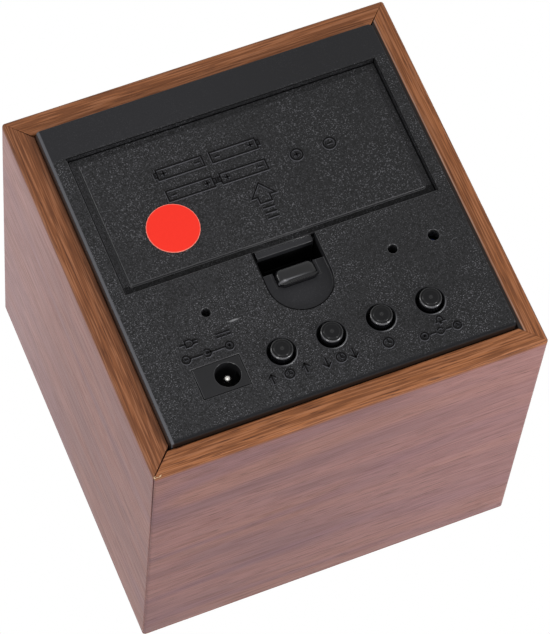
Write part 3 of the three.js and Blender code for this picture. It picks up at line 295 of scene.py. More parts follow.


# Moulded black plastic: spark-eroded, but plain in the band at the top and in the finger pocket. The places
# of its painted shades and painted highlight are those of the plate's sides, the door's recess, the pocket and the
# latch's mouth
plasticLook = {
    "dark": tone(8, 8, 9), "body": tone(40, 40, 42), "speck": tone(102, 102, 106),
    "plain": tone(30, 30, 33), "pocket": tone(35, 35, 38), "scuff": tone(140, 140, 142),
    "litEdge": tone(86, 86, 90), "dimEdge": tone(20, 20, 24), "reflectedWoodShade": tone(38, 23, 15),
    "grain": 3600, "specks": 5200, "doorSpecks": 0.75, "roughness": 0.5,
    "doorSteps": span(31.1, 31.3), "plainSteps": span(53.1, 53.9),
    "paintedFalloff": 0.35, "paintedFalloffSteps": span(12, -18),
    "litSteps": span(26.8, 26.97), "litEnd": span(27.24, 27.38), "wallSteps": span(27.3, 27.44),
    "dimDepth": 0.42, "dimEnd": span(3.9, 4.5), "footEnd": span(3.68, 3.85),
    "recessSide": span(-25.7, -25.6), "recessTop": span(52.9, 53.0),
    "pocketX": -0.55 * mm, "pocketZ": 22.2 * mm, "pocketRadius": 5.05 * mm,
    "pocketEnd": span(0.02, 0.1), "pocketWall": span(-0.14, -0.04),
    "pocketLine": 0.08 * mm, "pocketLineEnd": span(0.1, 0.18),
    "pocketDepth": span(31.36, 31.44), "pocketTop": span(28.6, 28.8), "pocketOpen": span(-5.0, -3.8),
    "mouthDepth": span(29.3, 29.7),
    "borderDepth": span(30.78, 30.95), "borderLow": span(28.74, 28.82), "borderHigh": span(30.2, 30.5),
    "scuffPlace": (11.3 * mm, 31.5 * mm, 19.27 * mm),
    "scuffSize": (1.0 * mm, 0.4 * mm, 0.2 * mm),
}


def plateEdges(plastic, look=plasticLook):
    # shares of the plate's sides, all painted light: a painted highlight on the crest toward +X above its wall,
    # painted shade where the lower side falls off, and a painted brown shade for the wood's reflection at the wall
    # and the foot
    lit = plastic.along("X", look["litSteps"]) * plastic.along("X", look["litEnd"], 1, 0)
    dim = plastic.along("Z", look["dimEnd"], 1, 0)
    woodReflectionShade = plastic.along("X", look["wallSteps"]).atLeast(plastic.along("Z", look["footEnd"], 1, 0))
    return lit, dim, woodReflectionShade


def paintedEdges(plastic, colour, look=plasticLook):
    lit, dim, woodReflectionShade = plateEdges(plastic)
    return plastic.layered(colour, (dim * 0.7, look["dimEdge"]), (lit, look["litEdge"]), (woodReflectionShade, look["reflectedWoodShade"]))


def pocketMasks(plastic, look=plasticLook):
    # the pocket is a half circle below its middle and straight above it, so what lies past it is the length
    # of x and of what z falls short of the middle, less the radius
    across = plastic.axis("X") - look["pocketX"]
    down = (plastic.axis("Z") - look["pocketZ"]).atMost(0.0)
    past = plastic.length(plastic.node("ShaderNodeCombineXYZ", inputs={0: across, 2: down})) - look["pocketRadius"]
    below = plastic.along("Z", look["pocketTop"], 1, 0)
    inside = plastic.between(past, *look["pocketEnd"], 1, 0) * below * plastic.along("Y", look["pocketDepth"], 1, 0)
    wall = plastic.between(past, *look["pocketWall"]) * inside
    line = plastic.between(abs(past - look["pocketLine"]), *look["pocketLineEnd"], 1, 0) * below
    # the outline, the pocket's wall and a line just past it, is painted shade, weaker on the side toward -X, which
    # lies open to the light
    shade = plastic.between(across, *look["pocketOpen"], 0.35, 1)
    return inside, wall.atLeast(line) * shade


def sparkedPlastic(name, look=plasticLook):
    plastic = Finish(name, **{"IOR": 1.45, "Specular IOR Level": 0.26})
    grit = plastic.noise(scale=look["grain"], detail=3, roughness=0.7)
    fine = plastic.noise(plastic.mapped(shift=(0.1, 0.2, 0.3)), look["specks"], 1)
    cloud = plastic.noise(scale=140, detail=2)
    inside, outline = pocketMasks(plastic)
    lit, dim = plateEdges(plastic)[:2]
    sparked = plastic.along("Z", look["plainSteps"], 1, 0.1) * (1 - inside * 0.9) * (1 - dim * 0.8) * (1 - lit)
    speckMask = plastic.between(fine, 0.56, 0.72) * plastic.between(cloud, 0.35, 0.6, 0.35, 1) * sparked
    colour = plastic.mixed(plastic.between(grit, 0.40, 0.58), look["dark"], look["body"])
    colour = plastic.mixed(sparked, plastic.mixed(inside, look["plain"], look["pocket"]), colour)
    toScuff = plastic.vectors("SUBTRACT", plastic.place, look["scuffPlace"])
    far = plastic.length(plastic.vectors("DIVIDE", toScuff, look["scuffSize"]))
    # painted shade: both the plate and the door darken a little toward -X; the door is also less gritty
    colour = plastic.layered(
        colour,
        (plastic.along("X", look["paintedFalloffSteps"], 0, look["paintedFalloff"]), look["dark"]),
        (speckMask * plastic.along("Y", look["doorSteps"], look["doorSpecks"], 1.0), look["speck"]),
        (plastic.between(far + grit * 0.8, 0.7, 1.5, 1, 0) * 0.8, look["scuff"]),
    )
    roughness = look["roughness"] + grit * 0.2 - speckMask * 0.2
    plastic.dressed(paintedEdges(plastic, colour), roughness, (grit + speckMask) * sparked, 0.7, 0.08 * mm)
    # painted shade, dead black: the mouth's depth, a painted shadow on the strip between the door and the pocket, the
    # pocket's outline and the plate's lower side
    borderShadow = plastic.along("Y", look["borderDepth"], 0.6, 0) * plastic.along("Z", look["borderLow"])
    borderShadow = borderShadow * plastic.along("Z", look["borderHigh"], 1, 0)
    paintedDeepShade = plastic.along("Y", look["mouthDepth"], 1, 0).atLeast(borderShadow).atLeast(outline) * 0.9
    plastic.blacken(paintedDeepShade.atLeast(dim * (1 - lit) * look["dimDepth"]))
    return plastic


def smoothPlastic(name, body, roughness=0.35, grain=0.12, shine=0.5, paint=None, **more):
    plastic = Finish(name, **{"IOR": 1.45, "Specular IOR Level": shine, **more})
    grit = plastic.noise(scale=2600)
    cloud = plastic.noise(scale=240)
    dull = tuple(0.78 * part for part in body[:3]) + (1.0,)
    colour = plastic.mixed(plastic.between(cloud, 0.3, 0.7), dull, body)
    colour = paint(plastic, colour) if paint else colour
    return plastic.dressed(colour, roughness + cloud * 0.12, grit, grain, 0.03 * mm)


clearShine = {"Coat Roughness": 0.14, "Coat IOR": 1.6}
capLook = {"cap": tone(13, 13, 15), "collar": tone(26, 26, 29), "paintedGlint": tone(82, 82, 85)}
lipLook = {
    "body": tone(13, 13, 15), "paintedGlint": tone(98, 98, 102),
    "glintPlace": 22.66 * mm, "glintReach": span(0.08, 0.34), "glintSteps": span(-3.2, 1.6),
}
markLook = {
    "top": tone(6, 6, 7), "litFlank": tone(80, 80, 84),
    "litFlankSteps": span(-0.07, -0.02), "topBlackSteps": span(-0.05, -0.01),
}


def paintedGlintEdge(plastic, colour):
    # painted highlight: paler on the edges that face the low light
    return plastic.mixed(plastic.carried("paintedGlint"), colour, capLook["paintedGlint"])


def buttonCap(name):
    # the points of a cap's edges carry rim, where the polished mould left a clear shine
    cap = smoothPlastic(name, capLook["cap"], 0.2, 0.1, 0.2, paintedGlintEdge, **clearShine)
    cap.drive(Coat_Weight=cap.carried("rim"))
    return cap


def holeCollar(name):
    shine = clearShine | {"Coat IOR": 1.5}
    collar = smoothPlastic(name, capLook["collar"], 0.4, 0.2, 0.3, paintedGlintEdge, **shine)
    collar.drive(Coat_Weight=collar.carried("paintedGlint") * 0.6)
    return collar


def roundedEdge(name, body, look=plasticLook):
    # clear shine along moulded edges, but none where shade is painted black: the recess's far sides, the pocket's
    # outline and the plate's lower side
    edge = smoothPlastic(name, body, 0.3, 0.2, 0.4, paintedEdges, **clearShine)
    lit, dim, woodReflectionShade = plateEdges(edge)
    far = edge.along("X", look["recessSide"], 1, 0).atLeast(edge.along("Z", look["recessTop"]))
    far = far.atLeast(pocketMasks(edge)[1])
    edge.drive(Coat_Weight=(1 - dim) * (1 - lit) * (1 - woodReflectionShade) * (1 - far) * 0.5)
    edge.blacken((far * 0.85).atLeast(dim * (1 - lit) * look["dimDepth"]))
    return edge


def paintedGlintLip(plastic, colour, look=lipLook):
    # a painted highlight streak low on the lip, fading toward -X
    low = plastic.between(abs(plastic.axis("Z") - look["glintPlace"]), *look["glintReach"], 1, 0)
    return plastic.mixed(low * plastic.along("X", look["glintSteps"]), colour, look["paintedGlint"])


def shadedPlastic(name, *look, **more):
    # painted shade: black in the depth of the mouth
    plastic = smoothPlastic(name, *look, **more)
    plastic.blacken(plastic.along("Y", plasticLook["mouthDepth"], 0.92, 0))
    return plastic


def mouldedMark(name, top, look=markLook):
    # painted light: paler flanks as if they caught light, and dark tops, half mixed toward a dead black that takes
    # away their reflection
    def paint(plastic, colour):
        litFlank = plastic.between(plastic.axis("Y") - top, *look["litFlankSteps"], 1, 0)
        return plastic.mixed(litFlank, colour, look["litFlank"])

    mark = smoothPlastic(name, look["top"], 0.3, 0.2, 0.25, paint)
    mark.blacken(mark.between(mark.axis("Y") - top, *look["topBlackSteps"], 0, 0.5))
    return mark


def platedMetal(name, body, roughness=0.22):
    metal = Finish(name, Metallic=1.0)
    brushed = metal.noise(metal.mapped((400, 6000, 6000)))
    cloud = metal.noise(scale=300)
    dull = tuple(0.7 * part for part in body[:3]) + (1.0,)
    colour = metal.mixed(metal.between(cloud, 0.35, 0.75), body, dull)
    return metal.dressed(colour, roughness + brushed * 0.15 + cloud * 0.08, brushed, 0.1, 0.01 * mm)


def paperDot(name, middle, radius):
    # the cut edge of the paper is paler
    paper = Finish(name, **{"Specular IOR Level": 0.2})
    fibre = paper.noise(scale=1800, detail=3)
    far = paper.vectors("MULTIPLY", paper.vectors("SUBTRACT", paper.place, middle), (1, 0, 1))
    cut = paper.between(paper.length(far) + fibre * 0.06 * mm, radius - 0.1 * mm, radius)
    red = paper.mixed(fibre * 0.35, tone(252, 52, 36), tone(238, 46, 34))
    colour = paper.mixed(cut * 0.5, red, tone(255, 190, 170))
    return paper.dressed(colour, 0.45 + fibre * 0.2, fibre, 0.12, 0.02 * mm)


def solderMask(name):
    board = Finish(name, IOR=1.5)
    lines = board.noise(board.mapped((900, 40, 900)), detail=0)
    weave = board.noise(scale=2500, detail=1)
    track = board.between(lines, 0.52, 0.55)
    colour = board.mixed(track, tone(20, 84, 48), tone(46, 122, 70))
    return board.dressed(colour, 0.3 + weave * 0.2, track + weave * 0.2, 0.3, 0.03 * mm)


def cellSleeve(name):
    # printed sleeve: each point carries how far along its cell it lies, from the flat end to the nub's
    sleeve = Finish(name, **{"IOR": 1.5, "Coat Roughness": 0.1})
    along = sleeve.carried("along")
    scuff = sleeve.noise(sleeve.mapped((300, 2000, 2000)), detail=3)
    copper = sleeve.between(along, 0.735, 0.74)
    line = sleeve.between(abs(along - 0.71), 0.006, 0.008, 1, 0)
    bare = sleeve.between(along, 0.012, 0.014, 1, 0) + sleeve.between(along, 0.974, 0.976)
    sleeve.drive(Metallic=(0.35 + copper * 0.45).atLeast(bare))
    colour = sleeve.layered(
        tone(30, 31, 36), (scuff * 0.2, tone(70, 72, 80)), (copper, tone(198, 122, 74)),
        (line, tone(210, 206, 198)), (bare, tone(214, 212, 205)))
    return sleeve.dressed(colour, 0.28 + scuff * 0.15, scuff, 0.06, 0.02 * mm)


finishes = {
    "wood_film": woodFoil("foilOfFrontBoard", shift=(0.4, 0.2, 0.1)),
    "front_film": woodFoil("foilOfFilm", shift=(0.2, 0.1, 0.3)),
    "black_plastic": sparkedPlastic("sparkedPlastic"),
    "button_plastic": buttonCap("buttonPlastic"),
    "red_paper": paperDot("redPaper", (13.9 * mm, 0, 36.85 * mm), 4.1 * mm),
    "steel": platedMetal("tinnedSteel", tone(196, 198, 200), 0.28),
    "nickel": platedMetal("brightNickel", tone(222, 220, 212), 0.12),
    "cell_shell": cellSleeve("cellSleeve"),
    "circuit_board": solderMask("solderMask"),
    "chip_plastic": smoothPlastic("chipEpoxy", tone(30, 30, 33), 0.5, 0.3),
    "display_plastic": smoothPlastic("displayWhite", tone(208, 210, 208)),
    "light_plastic": smoothPlastic("milkyLight", tone(250, 240, 224)),
    "nylon": smoothPlastic("naturalNylon", tone(232, 228, 216)),
    "sensor_resin": smoothPlastic("sensorResin", tone(38, 54, 108)),
    "sleeve": smoothPlastic("capacitorSleeve", tone(36, 38, 48)),
    "red_lead": smoothPlastic("redLead", tone(186, 34, 28)),
    "black_lead": smoothPlastic("blackLead", tone(24, 24, 26)),
    "grey_ribbon": smoothPlastic("greyRibbon", tone(150, 154, 160)),
}
edgePlastic = roundedEdge("edgePlastic", tone(34, 34, 37))
collarPlastic = holeCollar("collarPlastic")
latchPlastic = shadedPlastic("latchPlastic", tone(20, 20, 22), 0.3, 0.2, 0.3)
lipPlastic = shadedPlastic(
    "lipPlastic", lipLook["body"], 0.2, 0.4, 0.26, paintedGlintLip, **{"Coat Weight": 0.3, "Coat Roughness": 0.12})
# painted shade: the guide tube is near black and dull, so the hole's inner wall reads as shade
guidePlastic = smoothPlastic("guidePlastic", tone(6, 6, 7), 0.9, 0.2, 0.05)
feltPlastic = smoothPlastic("feltPlastic", tone(10, 10, 11), 0.9, 0.8, 0.05)
jackPlastic = smoothPlastic("jackPlastic", tone(26, 26, 28), 0.42, 0.4, 0.26)
for entry in frame["record"]["subparts"]:
    nodes[entry["node"]].material_slots[0].material = finishes[entry["material_slot"]].material
nodes["microphone"].material_slots[0].material = feltPlastic.material
print("finishes made:", len(finishes))


# Meshes worked out as arrays of points
def meshObject(name, points, faces):
    mesh = bpy.data.meshes.new(name)
    mesh.from_pydata(np.asarray(points, float).tolist(), [], faces)
    work = bmesh.new()
    work.from_mesh(mesh)
    bmesh.ops.remove_doubles(work, verts=work.verts, dist=1e-7)
    bmesh.ops.recalc_face_normals(work, faces=work.faces)
    work.to_mesh(mesh)
    work.free()
    return linked(name, mesh)


def unit(vectors):
    return vectors / np.linalg.norm(vectors, axis=-1, keepdims=True)


def gridFaces(rows, columns, start=0, capped=True):
    # quads between neighbouring rows of a grid whose columns close on themselves
    index = start + np.arange(rows * columns).reshape(rows, columns)
    ahead = np.roll(index, -1, axis=1)
    quads = np.stack([index[:-1], ahead[:-1], ahead[1:], index[1:]], axis=-1).reshape(-1, 4)
    ends = [index[0, ::-1].tolist(), index[-1].tolist()] if capped else []
    return quads.tolist() + ends


def gridObject(name, points, capped=True):
    rows, columns = points.shape[:2]
    return meshObject(name, points.reshape(-1, 3), gridFaces(rows, columns, capped=capped))


def raised(flat, height):
    # points at x and z of a flat grid and this far along Y
    return np.stack([flat[..., 0], np.broadcast_to(height, flat.shape[:2]), flat[..., 1]], axis=-1)


def pointsOf(piece):
    place = np.empty(3 * len(piece.data.vertices))
    piece.data.vertices.foreach_get("co", place)
    return place.reshape(-1, 3) / mm


def carry(piece, name, values):
    piece.data.attributes.new(name, "FLOAT", "POINT").data.foreach_set("value", values)


def finished(piece, body, slot, finish=None, replaced=(), smooth=35, edge=None):
    mesh = piece.data
    mesh.materials.append((finish or finishes[slot]).material)
    if edge:
        mesh.materials.append(edge.material)
    mesh.shade_smooth()
    if smooth is not None:
        mesh.set_sharp_from_angle(angle=math.radians(smooth))
    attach(piece, body)
    if replaced:
        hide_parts(*replaced)
    return piece


def filleted(corners, radii, steps=6, closed=True):
    # each corner of an outline becomes an arc: its ends lie radius / tan(half the corner's angle) away
    corners = np.asarray(corners, float)
    count = len(corners)
    points = []
    for i in range(count):
        here = corners[i]
        if radii[i] <= 0 or not closed and i in (0, count - 1):
            points.append(here[None])
            continue
        back, ahead = unit(corners[i - 1] - here), unit(corners[(i + 1) % count] - here)
        half = math.acos(np.clip(back @ ahead, -1, 1)) / 2
        reach = radii[i] / math.tan(half)
        centre = here + unit(back + ahead) * radii[i] / math.sin(half)
        start, end = here + back * reach - centre, here + ahead * reach - centre
        sweep = math.pi - 2 * half
        share = np.linspace(0, 1, steps + 1)[:, None]
        arc = (np.sin((1 - share) * sweep) * start + np.sin(share * sweep) * end) / math.sin(sweep)
        points.append(centre + arc)
    return np.concatenate(points)


def turned(name, profile, middle, alongX=False, sides=64):
    # radius and place along the axis, carried round the line through the middle along Y or X
    profile = np.asarray(profile, float)
    angle = np.linspace(0, 2 * np.pi, sides, endpoint=False)[None]
    radius, place = profile[:, :1], profile[:, 1:] + 0 * angle
    first, second = middle[0] + radius * np.cos(angle), middle[1] + radius * np.sin(angle)
    points = np.stack([place, first, second] if alongX else [first, place, second], axis=-1)
    return gridObject(name, points * mm, capped=False)


def boxOf(node):
    # the low corner, the high corner and the middle of a solid's box, in millimetres
    low, high = (np.array(corner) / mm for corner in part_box(node))
    return low, high, (low + high) / 2


def eased(share):
    # a soft step from 0 to 1: three times the square of the share less twice its cube
    share = np.clip(share, 0, 1)
    return share * share * (3 - 2 * share)


def crestEdges(work, level, inside):
    # edges round the faces at one height along Y, where both ends lie in the given place
    chosen = []
    for edge in work.edges:
        flat = all(abs(corner.co.y - level) < 1e-6 and inside(corner.co) for corner in edge.verts)
        if flat and edge.calc_face_angle(0) > 0.5:
            chosen.append(edge)
    return chosen


def softened(node, name, body, width, finish=None, edge=edgePlastic, sharpness=50, crest=None):
    # a copy of a solid: doubles merged, flat faces joined, edges rounded, those of its crest more than the rest
    mesh = nodes[node].data.copy()
    mesh.name = name
    mesh.materials.clear()
    work = bmesh.new()
    work.from_mesh(mesh)
    bmesh.ops.remove_doubles(work, verts=work.verts, dist=1e-6)
    bmesh.ops.dissolve_limit(work, angle_limit=math.radians(0.5), verts=work.verts, edges=work.edges)
    if crest:
        level, inside, radius = crest
        bmesh.ops.bevel(work, geom=crestEdges(work, level, inside), offset=radius, offset_type="OFFSET",
                        segments=6, profile=0.5, affect="EDGES", material=1, clamp_overlap=False)
    work.to_mesh(mesh)
    work.free()
    piece = linked(name, mesh)
    edges = piece.modifiers.new("edges", "BEVEL")
    edges.width = width
    edges.segments = 3
    edges.limit_method = "ANGLE"
    edges.angle_limit = math.radians(sharpness)
    edges.use_clamp_overlap = False
    edges.material = 1
    piece.modifiers.new("flats", "WEIGHTED_NORMAL").weight = 100
    finished(piece, body, "black_plastic", finish, [node], smooth=None, edge=edge)


# Case boards: a rounded section carried along each board, cut to a mitre at both ends
boardSetup = {
    "thickness": 3.5, "half": 31.5, "front": -30.2, "back": 30.5,
    "frontRound": 0.05, "rimRound": 0.55, "innerRound": 0.2, "cornerRound": 0.5, "endRound": 0.07,
    "innerDepths": (1.3, 1.7),
    "rows": 60,
    "grainShift": (0.31, 0.017, 0.023),
}
boards = {
    # outward axis, axis along the board, the gap at each end at its inner edge, middle and outer edge, how far
    # the rim reaches inward, and the look
    "top": ((0, 0, 1), (1, 0, 0), (0.05, 0.02, 0.0), (0.03, 0.01, 0.0), 0, foilLook),
    "right": ((1, 0, 0), (0, 0, -1), (0.2, 0.02, 0.0), (0.36, 0.28, 0.22), 0.4, nearLook),
    "bottom": ((0, 0, -1), (-1, 0, 0), (0.0, 0.0, 0.0), (0.02, 0.01, 0.0), 0, undersideLook),
    "left": ((-1, 0, 0), (0, 0, 1), (0.05, 0.02, 0.0), (0.2, 0.03, 0.0), 0, farLook),
}


def boardSection(setup, inward):
    # outline of the board's section as width from its inner face and place along the clock's depth; its back
    # end may reach inward, to the plate
    thick, front, back = setup["thickness"], setup["front"], setup["back"]
    corners = [(0, front + thick), (thick, front), (thick, back), (-inward, back)]
    radii = [setup["frontRound"], setup["frontRound"], setup["rimRound"], setup["innerRound"]]
    if inward:
        near, paintedDeepShade = setup["innerDepths"]
        corners += [(-inward, back - near), (0, back - paintedDeepShade)]
        radii += [0.0, 0.0]
    section = filleted(corners, radii, 8)
    order = np.argmax(np.linalg.norm(np.diff(section, axis=0), axis=1))
    share = np.linspace(0, 1, 25)[1:-1, None]
    longFace = section[order] + (section[order + 1] - section[order]) * share
    return np.concatenate([section[:order + 1], longFace, section[order + 1:]])


def mitredBoard(name, outward, along, startGap, endGap, inward, setup=boardSetup):
    # the reach of each line along the board is half the case less what lies outside it, less the open seam;
    # near its ends the board thins to the case's rounded corner: the root of radius squared less past squared
    thick, half, corner = setup["thickness"], setup["half"], setup["cornerRound"]
    section = boardSection(setup, inward)
    tangent = np.roll(section, -1, axis=0) - np.roll(section, 1, axis=0)
    normal = unit(np.stack([tangent[:, 1], -tangent[:, 0]], axis=-1))
    if ((section - section.mean(axis=0)) * normal).sum() < 0:
        normal = -normal
    width = section[:, 0]

    def thicknessAt(u):
        past = np.clip(np.abs(u) - (half - corner), 0, corner * 0.999)
        return thick - corner + np.sqrt(corner ** 2 - past ** 2)

    reach = half - thick + width
    for _ in range(40):
        reach = (reach + half - thick + width * thicknessAt(reach) / thick) / 2
    backShare = np.clip((section[:, 1] - setup["front"]) / (setup["back"] - setup["front"]), 0, 1)

    def end(side, gap):
        return side * (reach - np.interp(width, [0, thick / 2, thick], gap) * backShare ** 1.5)

    low, high = end(-1, startGap), end(1, endGap)
    r = setup["endRound"]
    share = np.linspace(0, 1, setup["rows"])
    share = (share - 0.9 * np.sin(2 * np.pi * share) / (2 * np.pi))[:, None]
    angle = np.linspace(0, np.pi / 2, 4)[1:, None]
    u = (low + r)[None] * (1 - share) + (high - r)[None] * share
    past, sink = r * (1 - np.sin(angle)), r * (1 - np.cos(angle)) * np.ones_like(low)[None]
    inward = np.concatenate([sink[::-1], np.zeros_like(u), sink])
    u = np.concatenate([(low[None] + past)[::-1], u, high[None] - past])
    w = (width[None] - inward * normal[None, :, 0]) * thicknessAt(u) / thick
    y = section[None, :, 1] - inward * normal[None, :, 1]
    outward, along = np.array(outward, float), np.array(along, float)
    points = np.array([0, 0, half]) + u[..., None] * along + (half - thick + w)[..., None] * outward
    return gridObject(name, (points + y[..., None] * np.array([0, 1, 0])) * mm)


for number, (side, (outward, along, startGap, endGap, inward, look)) in enumerate(boards.items()):
    turn = (0, math.pi / 2, 0) if outward[0] else (0, 0, 0)
    shift = tuple(number * step for step in boardSetup["grainShift"])
    foil = woodFoil(f"foilOf{side.title()}Board", turn, shift, look)
    board = mitredBoard(f"{side}Board", outward, along, startGap, endGap, inward)
    finished(board, "case", "wood_film", foil, [f"case_{side}_board"], smooth=50)
print("case boards made")

# Pale torn fibres where the lower mitre stands open
fibreSetup = {
    "count": 26,
    "seed": 4,
    "centre": (30.9, 30.3, 0.22), "spread": (0.42, 0.09, 0.12),
    "least": (29.8, 30.1, 0.1), "most": (31.36, 30.5, 0.8),
    "length": (0.25, 0.6), "width": (0.035, 0.08),
    "heading": (1.0, 0.25, 0.1), "stray": (0.5, 0.35, 0.35),
    "caseLow": (-31.5, -30.5, 0.01), "caseHigh": (31.49, 31.0, 63),
    "dark": tone(188, 142, 100), "light": tone(242, 220, 186),
}


def tornFibres(setup):
    # each sliver is a double pyramid: two tips and a ring of three points round its middle
    dice = np.random.default_rng(setup["seed"])
    count = setup["count"]
    middle = np.array(setup["centre"]) + dice.normal(size=(count, 3)) * setup["spread"]
    middle = np.clip(middle, setup["least"], setup["most"])
    length = dice.uniform(*setup["length"], count)[:, None]
    width = dice.uniform(*setup["width"], count)[:, None]
    heading = unit(np.array(setup["heading"]) + dice.normal(size=(count, 3)) * setup["stray"])
    across = unit(np.cross(heading, (0.2, 0.3, 1.0)))
    third = np.cross(heading, across)
    ring = [middle + width * (math.cos(a) * across + math.sin(a) * third) for a in (0, 2.1, 4.2)]
    points = np.stack([middle - heading * length / 2, *ring, middle + heading * length / 2], axis=1)
    points = np.clip(points, setup["caseLow"], setup["caseHigh"])
    faces = [[5 * i + corner for corner in face] for i in range(count)
             for face in ((0, 2, 1), (0, 3, 2), (0, 1, 3), (4, 1, 2), (4, 2, 3), (4, 3, 1))]
    return meshObject("tornFibres", points.reshape(-1, 3) * mm, faces)


def paleFibre(name, setup=fibreSetup):
    fibre = Finish(name, IOR=1.45)
    grain = fibre.noise(scale=6000)
    return fibre.dressed(fibre.mixed(grain, setup["dark"], setup["light"]), 0.7 + grain * 0.2, grain, 0.3, 0.02 * mm)


finished(tornFibres(fibreSetup), "case", "wood_film", paleFibre("paleFibre"), smooth=None)
print("torn fibres made")

# Front film with the time shining through it: its grid is fine over the window and has these lines outside it
filmSetup = {
    "half": 31.5, "front": -30.5, "back": -30.2, "corner": 0.5, "edge": 0.14,
    "window": (26.5, 9.5), "step": 0.2,
    "sideLines": (31.5, 31.49, 31.455, 31.41, 31.36, 31.28, 31.18, 31.08, 31.0, 30.6, 29.5, 28.2, 26.5, 22, 17, 13,
                  10.8),
}
digitSetup = {
    "time": "10:08",
    "pitch": 11.174, "width": 7.374, "height": 14.2, "lean": 0.12, "middle": 31.5,
    "stroke": 1.6, "strokeGap": 0.35,
    "colonSide": 1.6, "colonSpacing": 5.2,
    "soft": 0.22, "halo": 0.9, "haloShare": 0.06,
    "colour": tone(255, 244, 224), "strength": 1.15,
}
litStrokes = {"0": "abcdef", "1": "bc", "8": "abcdefg"}


def gridLines(window, setup):
    step = setup["step"]
    inner = np.linspace(-window, window, round(2 * window / step) + 1)
    side = np.array([place for place in setup["sideLines"] if place > window + step])
    return np.concatenate([-side, inner, side[::-1]])


def glowAt(x, z, setup):
    # how near each point lies to a lit stroke: a hexagonal bar is the larger of its distance past the
    # long sides and past the slanted tips
    z = z - setup["middle"]
    x = x - setup["lean"] * z
    half = setup["stroke"] / 2
    side, quarter = (setup["width"] - setup["stroke"]) / 2, (setup["height"] - setup["stroke"]) / 4
    places = {
        "a": (0, 2 * quarter, False), "g": (0, 0, False), "d": (0, -2 * quarter, False),
        "b": (side, quarter, True), "c": (side, -quarter, True),
        "f": (-side, quarter, True), "e": (-side, -quarter, True),
    }
    far = np.full(x.shape, 1e3)
    digits = setup["time"].replace(":", "")
    for i, digit in enumerate(digits):
        centre = (i - (len(digits) - 1) / 2) * setup["pitch"]
        for stroke in litStrokes[digit]:
            dx, dz, upright = places[stroke]
            u, v = np.abs(x - centre - dx), np.abs(z - dz)
            length = 2 * quarter if upright else 2 * side
            u, v = (v, u) if upright else (u, v)
            tip = (u + v - (length - setup["strokeGap"]) / 2) / math.sqrt(2)
            far = np.minimum(far, np.maximum(v - half, tip))
    for row in (-1, 1):
        u, v = np.abs(x), np.abs(z - row * setup["colonSpacing"] / 2)
        far = np.minimum(far, np.maximum(u, v) - setup["colonSide"] / 2)
    halo = np.exp(-np.clip(far, 0, None) / setup["halo"])
    return eased(0.5 - far / (2 * setup["soft"])) * (1 - setup["haloShare"]) + setup["haloShare"] * halo


def filmSheet(setup, digits):
    # a grid over the front whose square corners are drawn in to the rounded ones, with its rim rolled back
    half, corner, edge = setup["half"], setup["corner"], setup["edge"]
    x, z = np.meshgrid(*(gridLines(window, setup) for window in setup["window"]), indexing="ij")
    rim = half - np.maximum(np.abs(x), np.abs(z))
    pastX, pastZ = (np.clip(np.abs(a) - (half - corner), 0, None) for a in (x, z))
    length = np.hypot(pastX, pastZ)
    shrink = np.where(length > 0, np.maximum(pastX, pastZ) / np.maximum(length, 1e-9), 1)
    x, z = (np.sign(a) * (np.minimum(np.abs(a), half - corner) + past * shrink)
            for a, past in ((x, pastX), (z, pastZ)))
    roll = np.clip(edge - rim, 0, edge)
    y = setup["front"] + edge - np.sqrt(edge ** 2 - roll ** 2)
    rows, columns = x.shape
    points = np.stack([x, y, z + half], axis=-1).reshape(-1, 3)
    index = np.arange(rows * columns).reshape(rows, columns)
    quads = np.stack([index[:-1, :-1], index[1:, :-1], index[1:, 1:], index[:-1, 1:]], axis=-1).reshape(-1, 4)
    ring = np.concatenate([index[:-1, 0], index[-1, :-1], index[:0:-1, -1], index[0, :0:-1]])
    backRing = points[ring] * (1, 0, 1) + (0, setup["back"], 0)
    under = len(points) + np.arange(len(ring))
    wall = np.stack([ring, under, np.roll(under, -1), np.roll(ring, -1)], axis=-1)
    faces = quads.tolist() + wall.tolist() + [under[::-1].tolist()]
    film = meshObject("frontFilm", np.concatenate([points, backRing]) * mm, faces)
    place = pointsOf(film)
    carry(film, "glow", glowAt(place[:, 0], place[:, 2], digits) * (place[:, 1] < setup["front"] + 0.01))
    return film


def litFoil(digits):
    foil = woodFoil("foilOfFilm", shift=(0.2, 0.1, 0.3))
    glow = foil.carried("glow")
    warm = foil.noise(foil.mapped((110, 2300, 2300)))
    shone = foil.mixed(glow * (0.9 + warm * 0.2), (0, 0, 0, 1), digits["colour"])
    foil.drive(Emission_Color=shone, Emission_Strength=digits["strength"])
    return foil


finished(filmSheet(filmSetup, digitSetup), "case", "front_film", litFoil(digitSetup), ["front_film"], smooth=40)
print("front film made")

# Rear housing, battery door, latch and socket: copies of the solids with rounded edges
edgeRounds = {
    "housing": 0.11 * mm, "door": 0.1 * mm, "latch": 0.07 * mm, "socket": 0.07 * mm,
    "plateRim": 0.75 * mm, "plateTop": 31.5 * mm, "plateX": span(-27.0, 26.6), "plateZ": span(4.6, 58.4),
    "lip": 0.85 * mm, "lipTop": 31.3 * mm, "lipZ": 25.0 * mm,
}


def onPlateRim(place, setup=edgeRounds):
    (left, right), (low, high) = setup["plateX"], setup["plateZ"]
    return not (left < place.x < right and low < place.z < high)


def onLip(place, setup=edgeRounds):
    return place.z < setup["lipZ"]


